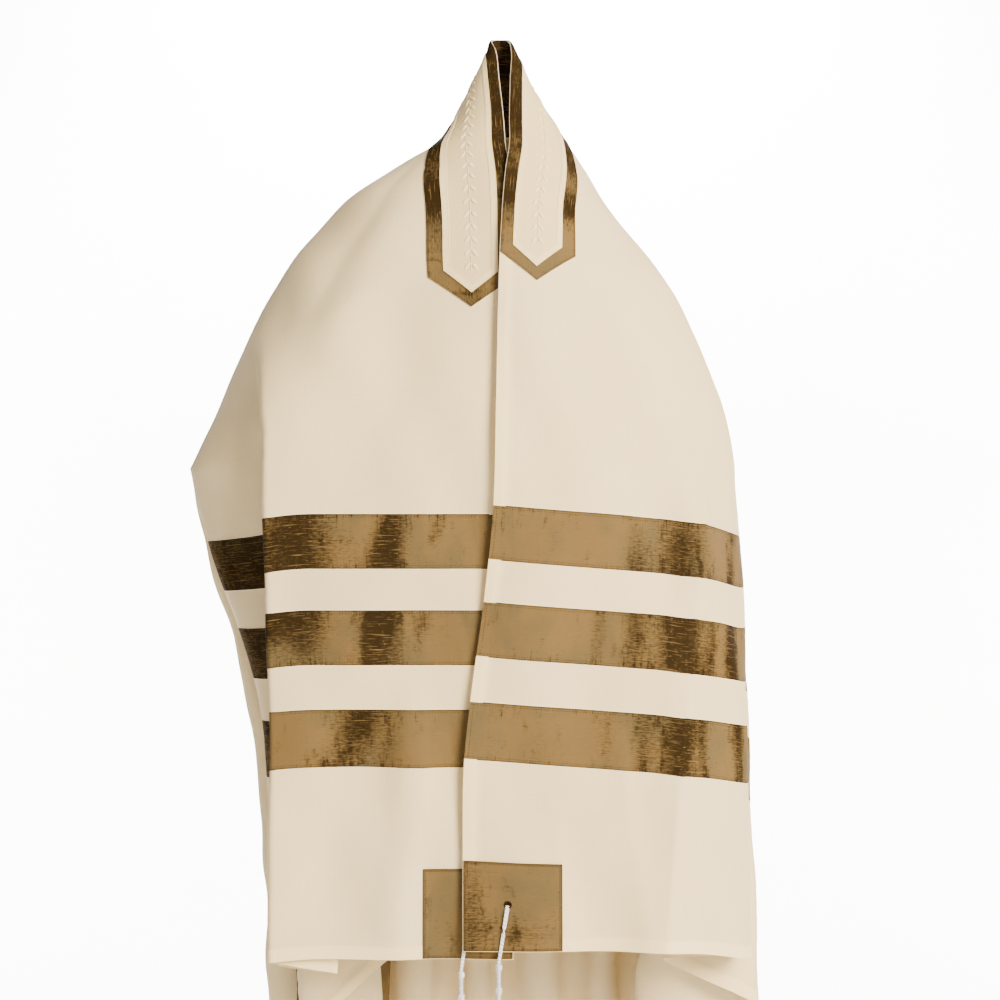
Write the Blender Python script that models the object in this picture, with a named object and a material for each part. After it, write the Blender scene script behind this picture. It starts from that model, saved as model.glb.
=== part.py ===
"""A tallit, the fringed prayer shawl, hanging in its worn form with nobody in it.

One rectangle of ivory wool, pieced with three gold-brown silk bands at each end, hangs from the back
of the neck. Its long upper edge runs down the front as two front edges, and the rest falls over the
places of the shoulders and elbows and down the back.

A point of the flat cloth is (s, q): s runs along the upper edge from the middle of the cloth, left
negative, and q runs down from that edge. The Drape class bends the flat cloth into its hanging form.
The origin is the top of the neck, the front faces -Y and +Z is up. Everything is in metres.
"""

import math
from collections import namedtuple

import bmesh
import bpy
import numpy as np
from mathutils import Matrix, Vector

# The cut of the cloth
CLOTH_HALF_LENGTH = 1.025
CLOTH_WIDTH = 1.150
CLOTH_SHIFT = 0.005
WOOL_WALL = 0.0015
SILK_WALL = 0.0010
SEAM_GAP = 0.0003

# The three silk bands of each end, from the middle of the cloth outwards
Band = namedtuple("Band", "start end")
SILK_BANDS = (Band(0.559, 0.615), Band(0.660, 0.716), Band(0.764, 0.823))

# The collar band and the inlay sewn on it
COLLAR_WIDTH = 0.090
COLLAR_INSET = 0.001
COLLAR_HALF_LENGTH = 0.302
COLLAR_TIP = 0.030
COLLAR_SHIFT = -0.0095
INLAY_START = 0.016
INLAY_END = 0.073
INLAY_HALF_LENGTH = 0.294
INLAY_TIP = 0.022
FACING_HALF_LENGTH = 0.118

# The corner patches, their eyelets and the knotted fringes that hang from them
PATCH_SIZE = 0.095
PATCH_INSET = 0.001
EYELET_FROM_END = 0.050
EYELET_FROM_EDGE = 0.046
EYELET_RADIUS = 0.0032
EYELET_SIDES = 12
EYELET_TURN = math.radians(6.3)
CORD_RADIUS = 0.0016
CORD_STANDS_OFF = 0.0043
CORD_TURNS = 6
CORDS_APART = 0.0018
KNOT_RADIUS = 0.0034
WINDING_RADIUS = 0.0020
KNOT_HEIGHT = 0.0070
KNOT_COUNT = 5
KNOT_SPACING = 0.024
KNOT_DROP = 0.012
STEM_SIDES = 6
STRAND_COUNT = 8
STRAND_LENGTH = 0.230
STRAND_RADIUS = 0.0007
STRAND_RING = 0.0019
STRAND_SPREAD = 0.010
LAYER_GAP = 0.0004

# Where each corner's eyelet is, and where its cords pass the edge below it
Corner = namedtuple("Corner", "name side eyelet_s eyelet_q exit_s exit_q")
CORNERS = (
    Corner("front_left", -1, 0.975, 0.046, 1.0250, 0.053),
    Corner("front_right", 1, 0.975, 0.046, 1.0250, 0.039),
    Corner("back_left", -1, 0.975, 1.104, 1.0077, 1.150),
    Corner("back_right", 1, 0.975, 1.104, 1.0028, 1.150),
)

# The front edge: along it, forward (-Y) and height, and the sideways place on the left and the right
Edge = namedtuple("Edge", "along y z left_x right_x right_lift")
FRONT_EDGE = (
    Edge(0.000, 0.010, 0.000, 0.000, 0.000, 0.000),
    Edge(0.014, 0.003, -0.003, -0.009, 0.009, 0.000),
    Edge(0.030, -0.010, -0.015, -0.005, 0.012, 0.000),
    Edge(0.070, -0.029, -0.050, -0.001, 0.011, 0.001),
    Edge(0.127, -0.057, -0.100, 0.004, 0.010, 0.002),
    Edge(0.160, -0.072, -0.129, 0.006, 0.010, 0.006),
    Edge(0.192, -0.086, -0.157, 0.010, 0.006, 0.009),
    Edge(0.262, -0.108, -0.225, 0.012, 0.001, 0.010),
    Edge(0.342, -0.117, -0.303, 0.011, -0.002, 0.010),
    Edge(0.439, -0.120, -0.400, 0.007, -0.004, 0.010),
    Edge(0.570, -0.120, -0.531, 0.003, -0.008, 0.010),
    Edge(0.655, -0.120, -0.616, 0.006, -0.017, 0.010),
    Edge(0.758, -0.120, -0.719, 0.010, -0.031, 0.010),
    Edge(0.815, -0.120, -0.776, 0.012, -0.037, 0.010),
    Edge(0.930, -0.120, -0.891, 0.014, -0.039, 0.010),
    Edge(1.035, -0.120, -0.996, 0.014, -0.039, 0.010),
)

# The back's middle line: down the cloth, and its place
Spine = namedtuple("Spine", "down y z")
BACK_LINE = (
    Spine(0.000, 0.010, 0.000),
    Spine(0.016, 0.014, -0.015),
    Spine(0.060, 0.033, -0.055),
    Spine(0.115, 0.060, -0.103),
    Spine(0.180, 0.088, -0.161),
    Spine(0.250, 0.112, -0.227),
    Spine(0.330, 0.132, -0.305),
    Spine(0.415, 0.145, -0.389),
    Spine(0.600, 0.156, -0.573),
    Spine(1.160, 0.162, -1.133),
)

# The shoulder ridge from the neck to the elbow: flat place (p, q) and place in space, x outwards
Ridge = namedtuple("Ridge", "p q x y z")
LEFT_RIDGE = (
    Ridge(0.000, 0.000, 0.000, 0.010, 0.000),
    Ridge(0.015, 0.015, 0.011, 0.005, -0.017),
    Ridge(0.105, 0.105, 0.077, 0.000, -0.124),
    Ridge(0.147, 0.140, 0.127, 0.000, -0.152),
    Ridge(0.191, 0.181, 0.176, 0.000, -0.185),
    Ridge(0.230, 0.218, 0.209, 0.000, -0.223),
    Ridge(0.273, 0.258, 0.243, 0.000, -0.267),
    Ridge(0.322, 0.296, 0.270, 0.000, -0.322),
    Ridge(0.352, 0.320, 0.287, 0.000, -0.356),
    Ridge(0.416, 0.362, 0.314, 0.000, -0.422),
    Ridge(0.480, 0.400, 0.342, 0.000, -0.475),
)
RIGHT_RIDGE = (
    Ridge(0.000, 0.000, 0.000, 0.010, 0.000),
    Ridge(0.015, 0.015, 0.011, 0.005, -0.017),
    Ridge(0.035, 0.035, 0.025, 0.003, -0.044),
    Ridge(0.118, 0.116, 0.089, 0.002, -0.140),
    Ridge(0.162, 0.152, 0.117, 0.002, -0.185),
    Ridge(0.212, 0.192, 0.156, 0.004, -0.234),
    Ridge(0.280, 0.238, 0.200, 0.008, -0.300),
    Ridge(0.345, 0.276, 0.233, 0.014, -0.367),
    Ridge(0.405, 0.304, 0.251, 0.020, -0.422),
    Ridge(0.452, 0.324, 0.259, 0.028, -0.462),
    Ridge(0.512, 0.345, 0.264, 0.035, -0.500),
)

# Below the elbow: how far below it, and the plan of the side's front line and back line
Fall = namedtuple("Fall", "drop front_x front_y back_x back_y")
LEFT_FALL = (
    Fall(0.000, 0.342, 0.000, 0.342, 0.000),
    Fall(0.085, 0.318, -0.010, 0.330, 0.026),
    Fall(0.175, 0.290, -0.022, 0.308, 0.048),
    Fall(0.265, 0.264, -0.032, 0.288, 0.062),
    Fall(0.400, 0.248, -0.040, 0.272, 0.072),
    Fall(0.600, 0.240, -0.043, 0.264, 0.078),
    Fall(1.000, 0.238, -0.044, 0.260, 0.080),
)
RIGHT_FALL = (
    Fall(0.000, 0.264, 0.035, 0.264, 0.035),
    Fall(0.050, 0.267, 0.010, 0.270, 0.050),
    Fall(0.175, 0.270, -0.022, 0.279, 0.068),
    Fall(0.300, 0.272, -0.036, 0.283, 0.078),
    Fall(0.500, 0.274, -0.046, 0.286, 0.086),
    Fall(1.000, 0.274, -0.050, 0.286, 0.090),
)

# The left front's deep tuck: along the front, how far its edge lies from the front edge, how deep
# the cloth is folded under, and the share of the full fold that it makes there
Tuck = namedtuple("Tuck", "along place depth share")
LEFT_TUCK = (
    Tuck(0.000, 0.258, 0.001, 0.00),
    Tuck(0.350, 0.258, 0.001, 0.00),
    Tuck(0.420, 0.257, 0.003, 0.55),
    Tuck(0.480, 0.256, 0.007, 1.00),
    Tuck(0.565, 0.254, 0.020, 1.00),
    Tuck(0.700, 0.255, 0.043, 1.00),
    Tuck(0.880, 0.258, 0.057, 1.00),
    Tuck(1.035, 0.260, 0.059, 1.00),
)
TUCK_OUTWARD_WAY = math.radians(50.0)
TUCK_BEND = 0.018
TUCK_STRETCHES = 4

# Soft folds of the front: side, their run down the front and across it, depth (out is positive) and
# width, and how much of the depth is left at the top
Crease = namedtuple("Crease", "side top bottom q_top q_bottom depth width")
CREASES = (
    Crease(-1, 0.190, 0.420, 0.085, 0.190, 0.0050, 0.026),
    Crease(-1, 0.250, 0.520, 0.060, 0.150, -0.0040, 0.030),
    Crease(-1, 0.700, 1.060, 0.095, 0.132, 0.0060, 0.022),
    Crease(-1, 0.760, 1.060, 0.175, 0.195, -0.0045, 0.030),
    Crease(1, 0.460, 1.120, 0.236, 0.180, 0.0100, 0.030),
    Crease(1, 0.300, 0.620, 0.120, 0.235, 0.0060, 0.030),
    Crease(1, 0.640, 1.100, 0.110, 0.120, -0.0040, 0.034),
)
CREASE_FADE = 0.080

# Folds that the spare width makes: how many waves, how unevenly they are spaced, the part of the row
# that they take and their widest turn, past which two sides would touch
Waves = namedtuple("Waves", "count unevenness part widest_turn")
BACK_WAVES = {-1: Waves(3, 0.040, 0.74, 1.50), 1: Waves(3, -0.035, 0.76, 1.50)}
SIDE_WAVES = {-1: Waves(3, -0.035, 1.00, 1.88), 1: Waves(3, 0.030, 1.00, 1.88)}
DEEPEST_LOBE = 0.112
SIDE_FOLD_START = 0.020
SIDE_FOLD_FULL = 0.180
BACK_BOW = 1.12
WAVE_STEPS = 72
CLOSEST_POINTS = 0.0048
SAME_PLACE = 1e-7
PLACE_DIGITS = 7

IVORY = (0.80, 0.74, 0.60, 1.0)
SILK = (0.27, 0.17, 0.075, 1.0)
DARK_SILK = (0.20, 0.13, 0.06, 1.0)
WHITE = (0.86, 0.84, 0.80, 1.0)


def smooth_table(x, knots, columns):
    """Read a table between its rows, along smooth curves through them."""
    knots = np.asarray(knots, dtype=float)
    values = np.asarray(columns, dtype=float)
    steps = np.diff(knots)
    slopes = np.diff(values, axis=0) / steps[:, None]
    tangents = np.empty_like(values)
    tangents[0] = slopes[0]
    tangents[-1] = slopes[-1]
    weight = (steps[1:] / (steps[:-1] + steps[1:]))[:, None]
    tangents[1:-1] = slopes[:-1] * weight + slopes[1:] * (1.0 - weight)
    x = np.clip(np.asarray(x, dtype=float), knots[0], knots[-1])
    row = np.clip(np.searchsorted(knots, x, side="right") - 1, 0, len(knots) - 2)
    step = steps[row][:, None]
    u = ((x - knots[row]) / steps[row])[:, None]
    return ((2 * u ** 3 - 3 * u ** 2 + 1) * values[row] + (u ** 3 - 2 * u ** 2 + u) * step * tangents[row]
            + (3 * u ** 2 - 2 * u ** 3) * values[row + 1] + (u ** 3 - u ** 2) * step * tangents[row + 1])


def ease(x):
    """A ramp from 0 to 1 with level ends."""
    x = np.clip(x, 0.0, 1.0)
    return x * x * (3.0 - 2.0 * x)


def hermite(start, start_way, end, end_way, u):
    """The smooth curve between two points with given directions there."""
    u = u[:, None]
    return ((2 * u ** 3 - 3 * u ** 2 + 1) * start + (u ** 3 - 2 * u ** 2 + u) * start_way
            + (3 * u ** 2 - 2 * u ** 3) * end + (u ** 3 - u ** 2) * end_way)


def unit(vectors):
    """Vectors of length one."""
    return vectors / np.maximum(np.linalg.norm(vectors, axis=1, keepdims=True), 1e-9)


def run_of_headings(t, heading):
    """How far a line has run ahead and sideways at the share t of its length, from its heading."""
    middles = (np.arange(WAVE_STEPS) + 0.5) / WAVE_STEPS
    angles = heading(t[:, None] * middles[None, :])
    return t * np.cos(angles).mean(axis=1), t * np.sin(angles).mean(axis=1)


def folded_run(t, share, waves, fullness):
    """Ahead (0 to 1) and sideways (as a share of the flat length) in a line folded into waves."""
    waved = np.clip((share - (1.0 - waves.part)) / waves.part, 0.0, 1.0)
    turn = np.minimum(2.0 * np.sqrt(2.0 * (1.0 - np.sqrt(waved))), waves.widest_turn * fullness)

    def heading(place):
        """The heading at each place: a wave of the turn, and straight on past the last wave."""
        run = np.minimum(place / waves.part, 1.0)
        uneven = run + waves.unevenness * np.sin(2.0 * math.pi * run)
        return turn[:, None] * np.sin(2.0 * math.pi * waves.count * uneven)

    ahead, aside = run_of_headings(t, heading)
    all_ahead, all_aside = run_of_headings(np.ones_like(t), heading)
    return ahead / all_ahead, aside - np.minimum(t / waves.part, 1.0) * all_aside


class HalfDrape:
    """One half of the hanging cloth: the left (side -1) or the right (side 1)."""

    def __init__(self, side, ridge, fall):
        self.side = side
        self.ridge_p = [row.p for row in ridge]
        self.ridge_rows = [(row.q, side * row.x, row.y, row.z) for row in ridge]
        self.drops = [row.drop for row in fall]
        self.fall_rows = [(side * row.front_x, row.front_y, side * row.back_x, row.back_y) for row in fall]
        self.elbow_p = ridge[-1].p
        self.elbow_q = ridge[-1].q
        self.elbow = np.array((side * ridge[-1].x, ridge[-1].y, ridge[-1].z))
        dense_p = np.linspace(0.0, self.elbow_p, 400)
        self.dense_p = dense_p
        self.dense_q = smooth_table(dense_p, self.ridge_p, self.ridge_rows)[:, 0]

    def ridge_point(self, p):
        """The ridge's place at p, and its direction."""
        here = smooth_table(p, self.ridge_p, self.ridge_rows)[:, 1:]
        before = smooth_table(p - 0.004, self.ridge_p, self.ridge_rows)[:, 1:]
        after = smooth_table(p + 0.004, self.ridge_p, self.ridge_rows)[:, 1:]
        return here, unit(after - before)

    def fall_point(self, drop, back):
        """A place on the side's front line, or its back line, at a flat distance below the elbow."""
        plan = smooth_table(drop, self.drops, self.fall_rows)
        plan = plan[:, 2:4] if back else plan[:, 0:2]
        return self.hang(plan, drop)

    def hang(self, plan, drop):
        """Put plan points at the height where a straight thread from the elbow reaches them."""
        reach = np.linalg.norm(plan - self.elbow[:2], axis=1)
        height = self.elbow[2] - np.sqrt(np.maximum(drop ** 2 - reach ** 2, 0.0))
        return np.column_stack((plan, height))

    def place(self, p, q):
        """Bend flat points of this half into the hanging form."""
        ridge_q = np.where(p < self.elbow_p, np.interp(p, self.dense_p, self.dense_q), self.elbow_q)
        front = q <= ridge_q
        side = (p > self.elbow_p) & ~front
        back = ~front & ~side
        points = np.zeros((len(p), 3))
        for mask, region in ((front, self.front_place), (side, self.side_place), (back, self.back_place)):
            if mask.any():
                points[mask] = region(p[mask], q[mask])
        return points

    def front_place(self, p, q):
        """The front: rows from the front edge to the ridge, or to the side's front line."""
        rows = [(row.left_x if self.side < 0 else row.right_x,
                 row.y - (row.right_lift if self.side > 0 else 0.0), row.z) for row in FRONT_EDGE]
        start = smooth_table(p, [row.along for row in FRONT_EDGE], rows)
        above = p < self.elbow_p
        ridge_end, ridge_way = self.ridge_point(np.minimum(p, self.elbow_p))
        low_end = self.fall_point(np.maximum(p - self.elbow_p, 0.0), back=False)
        end = np.where(above[:, None], ridge_end, low_end)
        width = np.where(above, np.interp(p, self.dense_p, self.dense_q), self.elbow_q)
        t = np.divide(q, width, out=np.zeros_like(q), where=width > 1e-6)
        high = 1.0 - ease((p / self.elbow_p - 0.62) / 0.38)
        span = np.linalg.norm(end - start, axis=1, keepdims=True)
        outward = np.tile((float(self.side), 0.0, 0.0), (len(p), 1))
        backward = np.tile((0.0, 1.0, 0.0), (len(p), 1))
        base = hermite(start, outward * span, end, unit(ridge_way * high[:, None] + backward) * span, t)
        if self.side < 0:
            folded, tucked = self.tucked_row(p, t, width, start, end)
            base[:, :2] += (folded - base[:, :2]) * tucked[:, None]
        late = start[:, 2] + (end[:, 2] - start[:, 2]) * ease((t - 0.50) / 0.50)
        base[:, 2] = base[:, 2] * high + late * (1.0 - high)
        base[:, 1] -= self.crease_height(p, t * width, width)
        return base

    def tucked_row(self, p, t, width, start, end):
        """The plan of a row with the tuck in it, and how much of it counts."""
        tuck = smooth_table(p, [row.along for row in LEFT_TUCK],
                            [(row.place, row.depth, row.share) for row in LEFT_TUCK])
        scale = 1.0 / np.maximum(width, 0.1)
        bend = TUCK_BEND * scale
        first = tuck[:, 0] * scale
        second = first + bend + tuck[:, 1] * scale

        def heading(place):
            """Along the front, half a turn back under it, out again and round to the side."""
            into = ease((place - first[:, None]) / bend[:, None] + 0.5)
            out = ease((place - second[:, None]) / bend[:, None] + 0.5)
            last = ease((place - 0.90) / 0.20)
            return math.pi * into + (TUCK_OUTWARD_WAY - math.pi) * out + (0.5 * math.pi - TUCK_OUTWARD_WAY) * last

        ahead, aside = self.long_run(t, heading)
        all_ahead, all_aside = self.long_run(np.ones_like(t), heading)
        plan = np.column_stack((start[:, 0] + self.side * ahead * width, start[:, 1] + aside * width))
        last = np.column_stack((start[:, 0] + self.side * all_ahead * width, start[:, 1] + all_aside * width))
        rest = ease((t - second) / np.maximum(1.0 - second, 0.05))
        return plan + (end[:, :2] - last) * rest[:, None], np.clip(tuck[:, 2], 0.0, 1.0)

    def crease_height(self, p, q, width):
        """How far the soft folds of the front stand out."""
        height = np.zeros_like(q)
        for crease in CREASES:
            if crease.side == self.side:
                share = (p - crease.top) / (crease.bottom - crease.top)
                centre = crease.q_top + (crease.q_bottom - crease.q_top) * share
                fade = ease((p - crease.top) / CREASE_FADE) * ease((crease.bottom - p) / CREASE_FADE)
                fade = fade * ease(q / 0.030) * ease((width - q) / 0.040)
                height = height + crease.depth * fade * np.exp(-((q - centre) / crease.width) ** 2)
        return height

    @staticmethod
    def long_run(t, heading):
        """A run of headings summed over several equal stretches, for sharp turns."""
        ahead = np.zeros_like(t)
        aside = np.zeros_like(t)
        for piece in range(TUCK_STRETCHES):
            middles = (piece + (np.arange(WAVE_STEPS) + 0.5) / WAVE_STEPS) / TUCK_STRETCHES
            angles = heading(t[:, None] * middles[None, :])
            ahead = ahead + t * np.cos(angles).mean(axis=1) / TUCK_STRETCHES
            aside = aside + t * np.sin(angles).mean(axis=1) / TUCK_STRETCHES
        return ahead, aside

    def back_place(self, p, q):
        """The back: rows from its middle line to the ridge, or to the side's back line."""
        line = smooth_table(q, [row.down for row in BACK_LINE], [(0.0, row.y, row.z) for row in BACK_LINE])
        above = q < self.elbow_q
        ridge_p = np.where(above, np.interp(q, self.dense_q, self.dense_p), self.elbow_p)
        ridge_end, ridge_way = self.ridge_point(ridge_p)
        low_end = self.fall_point(np.maximum(q - self.elbow_q, 0.0), back=True)
        end = np.where(above[:, None], ridge_end, low_end)
        t = np.divide(p, ridge_p, out=np.zeros_like(p), where=ridge_p > 1e-6)
        high = (1.0 - ease((q / self.elbow_q - 0.62) / 0.38))[:, None]
        outward = np.tile((float(self.side), 0.0, 0.0), (len(p), 1))
        forward = np.tile((0.0, -1.0, 0.0), (len(p), 1))
        span = np.linalg.norm(end - line, axis=1, keepdims=True)
        end_way = unit(ridge_way * high + forward) * span
        share = BACK_BOW * span[:, 0] / np.maximum(ridge_p, 1e-6)
        ahead, aside = folded_run(t, share, BACK_WAVES[self.side], np.ones_like(t))
        depth = self.limited(aside * ridge_p, ridge_p)
        return self.beside(line, outward * span, end, end_way, ahead, depth, -self.side)

    def side_place(self, p, q):
        """The side below the elbow: a fan of straight threads folded into deep waves."""
        drop = np.hypot(p - self.elbow_p, q - self.elbow_q)
        angle = np.arctan2(q - self.elbow_q, p - self.elbow_p)
        start = self.fall_point(drop, back=False)
        end = self.fall_point(drop, back=True)
        ring = 0.5 * math.pi * drop
        share = np.linalg.norm(end[:, :2] - start[:, :2], axis=1) / np.maximum(ring, 1e-6)
        fullness = ease((drop - SIDE_FOLD_START) / SIDE_FOLD_FULL)
        ahead, aside = folded_run(angle / (0.5 * math.pi), share, SIDE_WAVES[self.side], fullness)
        depth = self.limited(aside * ring, ring)
        way = end - start
        points = self.beside(start, way, end, way, ahead, depth, self.side)
        return self.hang(points[:, :2], drop)

    @staticmethod
    def limited(depth, length):
        """Keep the lobes of very long rows from reaching too deep."""
        deepest = 0.395 * length / 3.0
        return depth * np.minimum(1.0, DEEPEST_LOBE / np.maximum(deepest, 1e-6))

    @staticmethod
    def beside(start, start_way, end, end_way, ahead, depth, turn):
        """A point beside a base curve, pushed level towards the hollow."""
        base = hermite(start, start_way, end, end_way, ahead)
        before = hermite(start, start_way, end, end_way, ahead - 0.01)
        after = hermite(start, start_way, end, end_way, ahead + 0.01)
        way = after - before
        way[:, 2] = 0.0
        way = unit(way)
        base[:, 0] -= turn * way[:, 1] * depth
        base[:, 1] += turn * way[:, 0] * depth
        return base


class Drape:
    """The whole hanging cloth, read at flat points."""

    def __init__(self):
        self.halves = {-1: HalfDrape(-1, LEFT_RIDGE, LEFT_FALL), 1: HalfDrape(1, RIGHT_RIDGE, RIGHT_FALL)}

    def place(self, s, q):
        """The hanging place of flat points."""
        s = np.asarray(s, dtype=float) - CLOTH_SHIFT
        q = np.asarray(q, dtype=float)
        points = np.zeros((len(s), 3))
        for side, half in self.halves.items():
            mask = (s < 0.0) if side < 0 else (s >= 0.0)
            if mask.any():
                points[mask] = half.place(np.abs(s[mask]), q[mask])
        return points


def clear_scene():
    """Remove whatever objects the file holds."""
    for old in list(bpy.data.objects):
        bpy.data.objects.remove(old, do_unlink=True)


def make_material(name, colour, roughness, sheen):
    """A plain Principled material."""
    material = bpy.data.materials.new(name)
    material.use_nodes = True
    shader = material.node_tree.nodes["Principled BSDF"]
    shader.inputs["Base Color"].default_value = colour
    shader.inputs["Roughness"].default_value = roughness
    shader.inputs["Metallic"].default_value = 0.0
    shader.inputs["Sheen Weight"].default_value = sheen
    return material


def new_collection(name):
    """A collection in the scene."""
    collection = bpy.data.collections.new(name)
    bpy.context.scene.collection.children.link(collection)
    return collection


def skin(shape, distances, rows, outer):
    """Join neighbouring rows of corners with triangles, each row at its own spacing down the cloth.

    Every skin splits the same way, so that layers keep their distance.
    """
    for (q_a, row_a), (q_b, row_b) in zip(zip(distances[:-1], rows[:-1]), zip(distances[1:], rows[1:])):
        a = 0
        b = 0
        while a < len(row_a) - 1 or b < len(row_b) - 1:
            next_a = q_a[a + 1] if a < len(row_a) - 1 else math.inf
            next_b = q_b[b + 1] if b < len(row_b) - 1 else math.inf
            if next_b < next_a + SAME_PLACE:
                corners = (row_a[a], row_b[b], row_b[b + 1])
                b += 1
            else:
                corners = (row_a[a], row_b[b], row_a[a + 1])
                a += 1
            shape.faces.new(corners if outer else corners[::-1])


def facing_ways(lines):
    """The direction out of the cloth at every point of its lines, from all the faces around it."""
    shape = bmesh.new()
    rows = [[shape.verts.new(point) for point in points] for _, points in lines]
    skin(shape, [q for q, _ in lines], rows, True)
    shape.normal_update()
    ways = [np.array([corner.normal for corner in row]) for row in rows]
    shape.free()
    return ways


def walled_sheet(name, lines, wall, material, collection):
    """A named wall of cloth: two skins half a wall either side of its lines, closed by a rim.

    Neighbouring pieces share the directions at their seam, so their edges meet square.
    """
    shape = bmesh.new()
    distances = [q for q, _, _ in lines]
    outer = [[shape.verts.new(point) for point in points + 0.5 * wall * ways] for _, points, ways in lines]
    inner = [[shape.verts.new(point) for point in points - 0.5 * wall * ways] for _, points, ways in lines]
    skin(shape, distances, outer, True)
    skin(shape, distances, inner, False)
    close_edge(shape, outer[0], inner[0], True)
    close_edge(shape, outer[-1], inner[-1], False)
    close_edge(shape, [row[0] for row in outer], [row[0] for row in inner], False)
    close_edge(shape, [row[-1] for row in outer], [row[-1] for row in inner], True)
    mesh = bpy.data.meshes.new(name)
    shape.to_mesh(mesh)
    shape.free()
    sheet = bpy.data.objects.new(name, mesh)
    collection.objects.link(sheet)
    mesh.materials.append(material)
    mesh.shade_smooth()
    mesh.set_sharp_from_angle(angle=math.radians(50.0))
    return sheet


def close_edge(shape, outer, inner, forward):
    """Close the edge between two skins, split the same way whichever side of a seam it is on."""
    for index in range(len(outer) - 1):
        following = index + 1
        for corners in ((outer[index], outer[following], inner[following]),
                        (outer[index], inner[following], inner[index])):
            shape.faces.new(corners if forward else corners[::-1])


def collar_span(s, half_length, tip, start, end):
    """The part of the collar band's width that it covers at s, or nothing past its point."""
    past = abs(s - COLLAR_SHIFT) - half_length
    if past > tip + 1e-6:
        return None
    share = max(past, 0.0) / tip
    middle = 0.5 * (start + end)
    return start + (middle - start) * share, end + (middle - end) * share


def band_span(s):
    """The collar band's width at s."""
    return collar_span(s, COLLAR_HALF_LENGTH, COLLAR_TIP, COLLAR_INSET, COLLAR_WIDTH)


def facing_span(s):
    """The inner facing's width at s."""
    return (COLLAR_INSET, COLLAR_WIDTH) if abs(s) <= FACING_HALF_LENGTH + 1e-6 else None


def inlay_span(s):
    """The inlay's width at s."""
    return collar_span(s, INLAY_HALF_LENGTH, INLAY_TIP, INLAY_START, INLAY_END)


class Pattern:
    """Where the cloth is cut into lines and points, shared by every piece that lies on it."""

    def __init__(self, drape):
        self.drape = drape
        places = set(middle_lines())
        for _, strip in end_pieces():
            places.update(side * place for place in strip for side in (-1, 1))
        places = sorted({round(place, PLACE_DIGITS) for place in places})
        ways = facing_ways([self.line(place, place) for place in places])
        self.ways = dict(zip(places, ways))

    def points_down(self, s):
        """The points down the cloth on the line at s."""
        signed = s - CLOTH_SHIFT
        half = self.drape.halves[-1 if signed < 0.0 else 1]
        p = abs(signed)
        ridge_q = float(np.interp(p, half.dense_p, half.dense_q)) if p < half.elbow_p else half.elbow_q
        places = set()
        steps = max(2, round(ridge_q / 0.040))
        front = [ridge_q * step / steps for step in range(steps + 1)]
        if half.side < 0 and p > 0.345:
            tuck = smooth_table(np.array([p]), [row.along for row in LEFT_TUCK],
                                [(row.place, row.depth, row.share) for row in LEFT_TUCK])[0]
            second = tuck[0] + TUCK_BEND + tuck[1]
            bends = [centre + part * TUCK_BEND for centre in (tuck[0], second)
                     for part in (-0.5, -0.17, 0.17, 0.5)]
            front = [q for q in front if q < bends[0] - 0.010 or q > bends[-1] + 0.010]
            front = front + [q for q in bends if q < ridge_q - 0.004]
        places.update(front)
        places.update(self.sewn_points(s))
        if p <= half.elbow_p:
            q = ridge_q
            while q < CLOTH_WIDTH - 0.030:
                step = 0.040 if q < 0.30 else (0.055 if q < half.elbow_q + 0.10 else 0.130)
                q += step
                places.add(min(q, CLOTH_WIDTH))
        else:
            widest = math.atan2(CLOTH_WIDTH - half.elbow_q, p - half.elbow_p)
            count = 24
            for index in range(1, count + 1):
                places.add(half.elbow_q + (p - half.elbow_p) * math.tan(widest * index / count))
        places.add(CLOTH_WIDTH)
        return self.spaced(sorted(places), s)

    def sewn_points(self, s):
        """The points where something sewn on has its edges."""
        places = []
        for span in (band_span(s), inlay_span(s)):
            if span is not None:
                places.extend(span)
        if abs(s) > CLOTH_HALF_LENGTH - PATCH_SIZE - 1e-6:
            for inwards in (PATCH_INSET, EYELET_FROM_EDGE, PATCH_SIZE):
                places.extend((inwards, CLOTH_WIDTH - inwards))
        return places

    def spaced(self, places, s):
        """Drop points that crowd each other, but keep the ends and what is sewn there."""
        keep = self.sewn_points(s)
        kept = [places[0]]
        for place in places[1:-1]:
            sewn = min((abs(place - other) for other in keep), default=1.0) < 1e-9
            crowded = place - kept[-1] < CLOSEST_POINTS or places[-1] - place < CLOSEST_POINTS
            near = any(0.0 < abs(place - other) < CLOSEST_POINTS for other in keep)
            if sewn or not (crowded or near):
                kept.append(place)
        kept.append(places[-1])
        return np.array(kept)

    def line(self, s, actual):
        """The hanging line that is cut like the line at s and lies at a place close to it."""
        q = self.points_down(round(s, PLACE_DIGITS))
        return q, self.drape.place(np.full(len(q), actual), q)

    def piece(self, places, actual):
        """The lines of one piece of the cloth, with the cloth's own directions."""
        lines = []
        for s, there in zip(places, actual):
            q, points = self.line(s, there)
            lines.append((q, points, self.ways[round(s, PLACE_DIGITS)]))
        return lines


def covered(places, lines, span_at, lift):
    """The part of a panel's lines that a piece sewn on it covers, moved out along the panel's face."""
    moved = []
    for s, (q, points, ways) in zip(places, lines):
        span = span_at(s)
        if span is not None:
            keep = (q >= span[0] - SAME_PLACE) & (q <= span[1] + SAME_PLACE)
            moved.append((q[keep], points[keep] + lift * ways[keep], ways[keep]))
    return moved


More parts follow.
